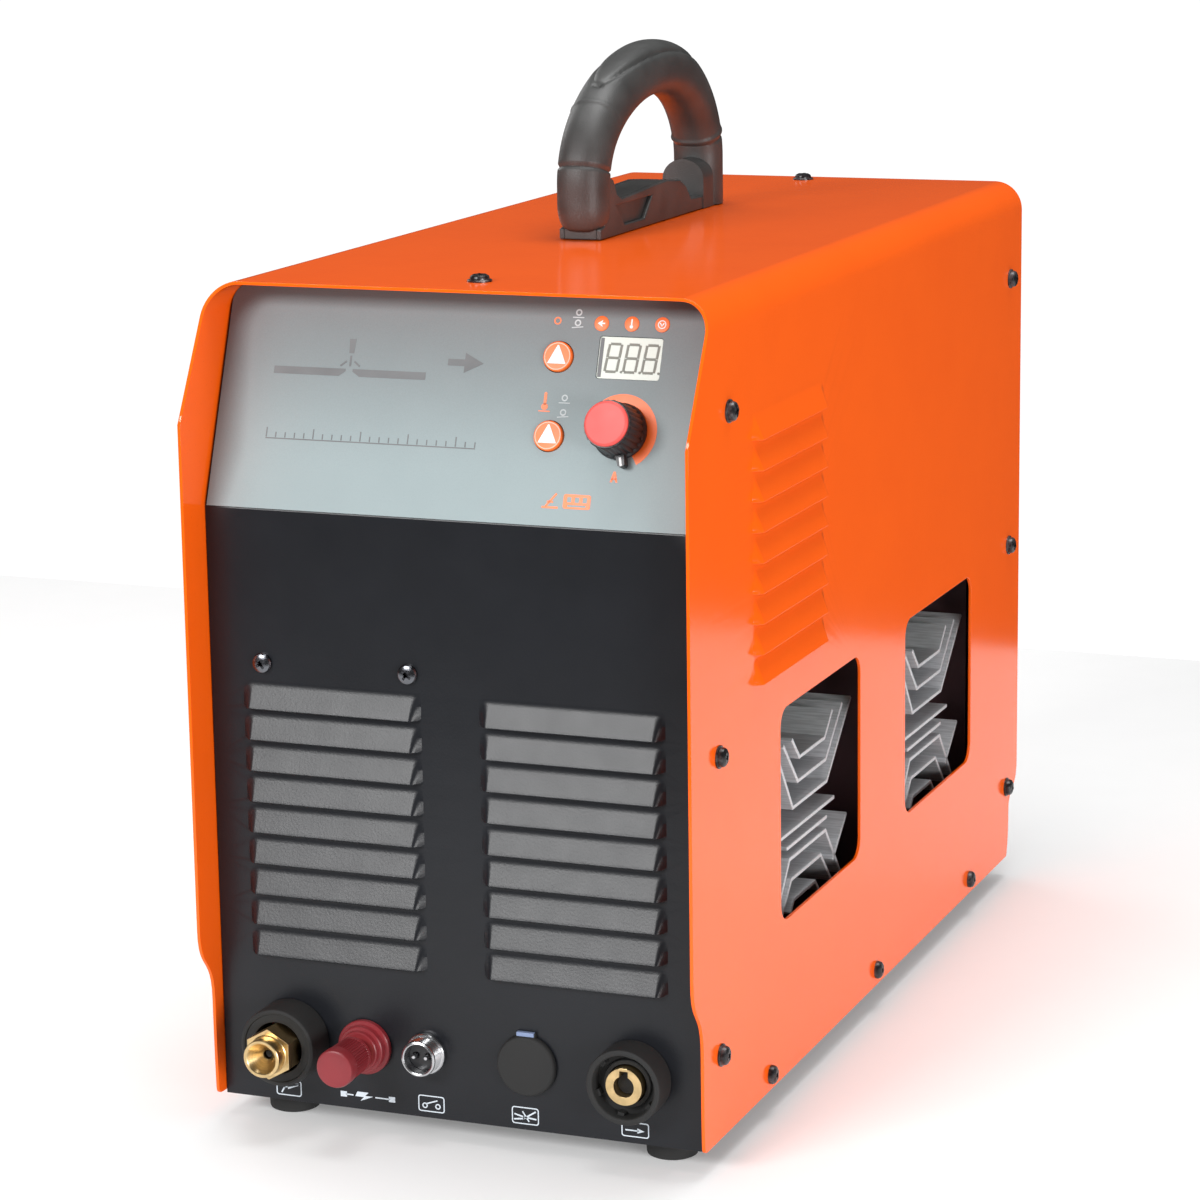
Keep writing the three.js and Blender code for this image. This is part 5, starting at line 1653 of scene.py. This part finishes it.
@dataclass
class RearParts:
    """The fan with its guard, the power switch, the cable gland and the earth stud on the rear wall."""

    blades: int = 7
    rings: int = 7
    wire: float = 0.9

    def guard(self) -> None:
        """Builds the wire fan guard: rings, four arms and their screw eyes."""
        low, high = Cabinet.box("fan_guard")
        middle = (low + high) / 2
        depth = high.y
        plane = Cabinet.plane(Side.BACK, (middle.x, depth, middle.z))
        outer = (high.x - low.x) / 2 - self.wire
        piece = Piece("fan_guard_wires", plane)
        for k in range(self.rings):
            radius = min(outer, 52.0) * (0.22 + 0.78 * k / (self.rings - 1))
            piece.turned([(radius + self.wire * math.cos(a), -self.wire * 1.1 + self.wire * math.sin(a))
                          for a in [FULL_TURN * j / 8 for j in range(8)]], sides=72, ring=True)
        for k in range(4):
            turn = Matrix.Rotation(math.radians(45 + 90 * k), 4, "Z")
            piece.block((8, -0.8, -3.4), (66, 0.8, -2.1), turn)
            eye = turn @ Vector((69, 0, 0))
            piece.turned([(2.3, -3.4), (4.4, -3.4), (4.4, -2.0), (2.3, -2.0)], (eye.x, eye.y, 0), 24, ring=True)
            piece.turned([(0, -6), (1.9, -6), (1.9, -1.9), (4.0, -1.9), (4.0, -1.0), (3.2, -0.2), (0, -0.05)],
                         (eye.x, eye.y, 0), 24)
        piece.done(Finishes.CHROME, replaces=["fan_guard"], angle=50)

    def rotor(self) -> None:
        """Builds the fan's hub and its curved, twisted blades."""
        low, high = Cabinet.box("fan_rotor")
        middle = (low + high) / 2
        reach = (high.x - low.x) / 2 - 0.3
        deep = (high.y - low.y) / 2 - 0.3
        piece = Piece("fan_blades_and_hub", Cabinet.plane(Side.BACK, middle))
        hub = 18.5
        piece.turned([(0, -deep), (hub - 1, -deep), (hub, -deep + 1), (hub, deep - 2), (hub - 2, deep), (6, deep),
                      (5.2, deep - 0.8), (0, deep - 0.8)], sides=64)
        for number in range(self.blades):
            start = FULL_TURN * number / self.blades
            part = bmesh.new()
            rows = []
            for i in range(9):
                radius = hub - 1.2 + (reach - hub + 1.2) * i / 8
                span = 0.62 + 0.10 * i / 8
                lean = 0.20 * i / 8
                row = []
                for j in range(9):
                    across = j / 8 - 0.5
                    turn = start + lean + span * across
                    height = (deep - 1.6) * (-math.sin(across * 2.4)) * (1.0 - 0.28 * i / 8)
                    row.append(part.verts.new((radius * math.cos(turn), radius * math.sin(turn), height)))
                rows.append(row)
            weave(part, rows)
            bmesh.ops.recalc_face_normals(part, faces=part.faces[:])
            bmesh.ops.solidify(part, geom=part.faces[:], thickness=1.3)
            piece.absorb(part, Matrix.Identity(4))
        piece.done(Finishes.FAN, "fan_rotor", ["fan_rotor"], 35)

    def gland(self) -> None:
        """Builds the cable gland: a hexagon, a ribbed dome nut and its clamping mouth."""
        low, high = Cabinet.box("cable_gland")
        middle = (low + high) / 2
        wall = Cabinet.box("rear_panel")[1].y
        tip = high.y
        plane = Cabinet.plane(Side.BACK, (middle.x, 0, middle.z))
        piece = Piece("gland_body", plane)
        piece.plate(circle(13.6, sides=6), wall + 0.3, wall + 6.3, [circle(5.0, sides=32)])
        piece.turned([(5.0, wall + 5), (11.4, wall + 5), (11.6, wall + 7.4), (11.6, wall + 15), (10.9, wall + 18.5),
                      (9.6, tip - 1.2), (8.8, tip), (5.4, tip), (4.7, tip - 1.0), (4.7, wall + 5)], sides=64,
                     ring=True)
        for k in range(18):
            turn = Matrix.Rotation(FULL_TURN * k / 18, 4, "Z")
            piece.block((11.0, -0.7, wall + 7.6), (12.1, 0.7, wall + 14.6), turn)
        piece.turned([(4.7, low.y + 1), (8.9, low.y + 1), (8.9, wall + 1), (4.7, wall + 1)], sides=48, ring=True)
        piece.done(Finishes.BLACK, replaces=["cable_gland"], angle=36)

    def stud(self) -> None:
        """Builds the earth stud with its washer, nut and printed mark."""
        low, high = Cabinet.box("ground_stud")
        middle = (low + high) / 2
        wall = Cabinet.box("rear_panel")[1].y
        plane = Cabinet.plane(Side.BACK, (middle.x, 0, middle.z))
        piece = Piece("earth_stud_and_nut", plane)
        thread = [(0, low.y)]
        steps = int((high.y - low.y - 1.5) / 0.5)
        for k in range(steps):
            thread.append((3.0 if k % 2 else 2.65, low.y + 0.5 * k))
        thread += [(2.3, high.y - 0.4), (2.0, high.y), (0, high.y)]
        piece.turned(thread, sides=32)
        piece.turned([(3.0, wall + 0.1), (6.3, wall + 0.1), (6.3, wall + 1.2), (3.0, wall + 1.2)], sides=48, ring=True)
        piece.plate(circle(6.2, sides=6), wall + 1.2, wall + 5.2)
        piece.done(Finishes.BRASS, replaces=["ground_stud"], angle=36)
        mark = Piece("earth_mark", Cabinet.plane(Side.BACK, (middle.x, wall, middle.z)))
        centre = (0.0, 14.5)
        mark.plate(circle(5.2, centre, 48), 0, 0.12, [circle(4.6, centre, 48)])
        mark.stroke([(0, 18), (0, 14.6)], 0.6, 0, 0.12)
        for width, drop in ((3.0, 14.4), (2.0, 13.1), (1.0, 11.8)):
            mark.stroke([(-width, drop), (width, drop)], 0.6, 0, 0.12)
        mark.done(Finishes.LABEL)

    def switch_trim(self) -> None:
        """Prints the on and off marks and the line around the switch."""
        low, high = Cabinet.box("switch_body")
        wall = Cabinet.box("rear_panel")[1].y
        middle = (low + high) / 2
        half_w, half_h = (high.x - low.x) / 2, (high.z - low.z) / 2
        mark = Piece("switch_marks", Cabinet.plane(Side.BACK, (middle.x, wall, middle.z)))
        mark.block((half_w + 4, 8, 0), (half_w + 4.9, 15, 0.12))
        mark.plate(circle(3.2, (half_w + 4.4, -11), 32), 0, 0.12, [circle(2.4, (half_w + 4.4, -11), 32)])
        mark.plate(rounded(2 * half_w + 3.0, 2 * half_h + 3.0, 2.0), 0, 0.12,
                   [rounded(2 * half_w + 2.2, 2 * half_h + 2.2, 1.6)])
        mark.done(Finishes.LABEL)

    def build(self) -> None:
        """Builds the rear parts."""
        self.guard()
        self.rotor()
        self.gland()
        self.stud()
        self.switch_trim()


ASSEMBLIES = (Cover(), CoverScrews(), FrontPanel(), Overlay(), Handle(), Sockets(), HeatSinks(), Feet(),
              RearParts())


# ---------------------------------------------------------------- studio


@dataclass
class Studio:
    """The floor, the soft lights and the camera around the machine."""

    lens: float = 111.513
    sensor: float = 36.0
    sky_plain: float = 0.40
    sky_glossy: float = 0.05
    sky_seen: float = 1.05
    azimuth: float = 21.676
    elevation: float = 12.253
    roll: float = -0.849
    distance: float = 1800.875
    target: tuple[float, float, float] = (-0.059, 200.0, 202.596)
    table: tuple[float, float, float] = (2.6, -0.85, 0.8)

    def camera(self) -> None:
        """Places the camera on its sphere around the target."""
        a, e, r = (math.radians(turn) for turn in (self.azimuth, self.elevation, self.roll))
        back = Vector((math.sin(a) * math.cos(e), -math.cos(a) * math.cos(e), math.sin(e)))
        right = Vector((math.cos(a), math.sin(a), 0))
        up = back.cross(right)
        level = (math.cos(r) * right + math.sin(r) * up, -math.sin(r) * right + math.cos(r) * up, back)
        data = bpy.data.cameras.new("camera")
        data.lens = self.lens
        data.sensor_width = self.sensor
        data.clip_start = 0.05
        data.clip_end = 30
        made = bpy.data.objects.new("camera", data)
        bpy.context.scene.collection.objects.link(made)
        place = Cabinet.low + MM * (Vector(self.target) + self.distance * back)
        made.matrix_world = Matrix.Translation(place) @ Matrix(level).transposed().to_4x4()
        bpy.context.scene.camera = made

    def lamp(self, name: str, place: Sequence[float], size: tuple[float, float], power: float) -> None:
        """Adds a soft rectangular light that faces the machine's middle."""
        data = bpy.data.lights.new(name, "AREA")
        data.shape = "RECTANGLE"
        data.size, data.size_y = size
        data.energy = power
        made = bpy.data.objects.new(name, data)
        bpy.context.scene.collection.objects.link(made)
        aim = Vector((0, 0, 0.2)) - Vector(place)
        made.matrix_world = Matrix.Translation(place) @ aim.to_track_quat("-Z", "Y").to_matrix().to_4x4()

    def build(self) -> None:
        """Builds the floor, the world, the lights and the camera."""
        low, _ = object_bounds()
        mesh = bpy.data.meshes.new("floor")
        ground = bmesh.new()
        bmesh.ops.create_grid(ground, x_segments=2, y_segments=2, size=0.5)
        stretch = Matrix.Diagonal((self.table[0], self.table[2] - self.table[1], 1, 1))
        middle = Matrix.Translation((0, (self.table[1] + self.table[2]) / 2, low[2]))
        bmesh.ops.transform(ground, matrix=middle @ stretch, verts=ground.verts[:])
        ground.to_mesh(mesh)
        ground.free()
        mesh.materials.append(Finishes.FLOOR.value.material())
        floor = bpy.data.objects.new("floor", mesh)
        bpy.context.scene.collection.objects.link(floor)
        floor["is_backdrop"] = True
        world = bpy.data.worlds.new("studio")
        bpy.context.scene.world = world
        world.use_nodes = True
        sky = world.node_tree.nodes
        rays = sky.new("ShaderNodeLightPath").outputs
        reflected = sky.new("ShaderNodeMapRange")
        world.node_tree.links.new(rays["Is Glossy Ray"], reflected.inputs["Value"])
        reflected.inputs["To Min"].default_value = self.sky_plain
        reflected.inputs["To Max"].default_value = self.sky_glossy
        strength = sky.new("ShaderNodeMapRange")
        world.node_tree.links.new(rays["Is Camera Ray"], strength.inputs["Value"])
        world.node_tree.links.new(reflected.outputs[0], strength.inputs["To Min"])
        strength.inputs["To Max"].default_value = self.sky_seen
        sky["Background"].inputs["Color"].default_value = (1.0, 1.0, 1.0, 1.0)
        world.node_tree.links.new(strength.outputs[0], sky["Background"].inputs["Strength"])
        self.lamp("left_softbox", (-0.86, -2.37, 1.36), (1.1, 0.7), 46)
        self.lamp("right_softbox", (2.28, -1.63, 0.4), (1.2, 0.6), 40)
        self.lamp("top_softbox", (0.1, 0.1, 1.7), (1.0, 1.0), 19)
        self.lamp("rear_softbox", (-2.4, 1.6, 1.4), (1.4, 1.4), 16)
        bpy.context.scene.view_settings.view_transform = "Standard"
        self.camera()


KEPT_NODES: dict[Finishes, tuple[str, ...]] = {
    Finishes.BLACK_PAINT: ("rear_panel", "base_tray", "compressor_motor", "front_panel"),
    Finishes.RUBBER: ("foot_front_left", "foot_front_right", "foot_rear_left", "foot_rear_right"),
    Finishes.FILM: ("panel_overlay",),
    Finishes.BLACK: ("knob_body", "torch_collar", "output_collar", "pin_socket_insert", "blanking_cap",
                     "display_module", "switch_body", "cable_gland", "gland_nut", "fan_rotor", "compressor_fan"),
    Finishes.FAN: ("fan_frame",),
    Finishes.HANDLE: ("handle_grip", "handle_bar"),
    Finishes.RED: ("post_base", "post_cap", "switch_lever"),
    Finishes.SALMON: ("knob_cap",),
    Finishes.SIGNAL: ("button_upper", "button_lower", "indicator_power", "indicator_heat", "indicator_air"),
    Finishes.LENS: ("display_window",),
    Finishes.BRASS: ("torch_connector", "post_stud", "post_ferrule", "output_contact", "ground_stud",
                     "solenoid_valve"),
    Finishes.DARK_PLATING: ("panel_screw_left", "panel_screw_right"),
    Finishes.CHROME: ("pin_socket_shell", "fan_guard"),
    Finishes.ZINC: ("potentiometer",),
    # The air duct is darkened as painted shade.
    Finishes.DUCT: ("air_duct",),
    Finishes.ALUMINIUM: ("heat_sink_front_right", "heat_sink_front_left", "heat_sink_rear_right",
                         "heat_sink_rear_left"),
    Finishes.CAST: ("compressor_head",),
    Finishes.FERRITE: ("transformer_core",),
    Finishes.BOARD: ("control_board", "main_board"),
    Finishes.COPPER: ("output_choke",),
    Finishes.TAPE: ("transformer_winding",),
    Finishes.SLEEVE: ("capacitor_front", "capacitor_rear"),
    Finishes.HOSE: ("air_hose",),
}


def main() -> None:
    """Builds the whole scene."""
    logging.basicConfig(level=logging.INFO, format="%(message)s")
    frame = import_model()
    Cabinet.measure()
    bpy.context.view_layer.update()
    for finish, nodes in KEPT_NODES.items():
        for node in nodes:
            dress(node, finish, frame)
    for assembly in ASSEMBLIES:
        assembly.build()
    Studio().build()


if __name__ == "__main__":
    main()
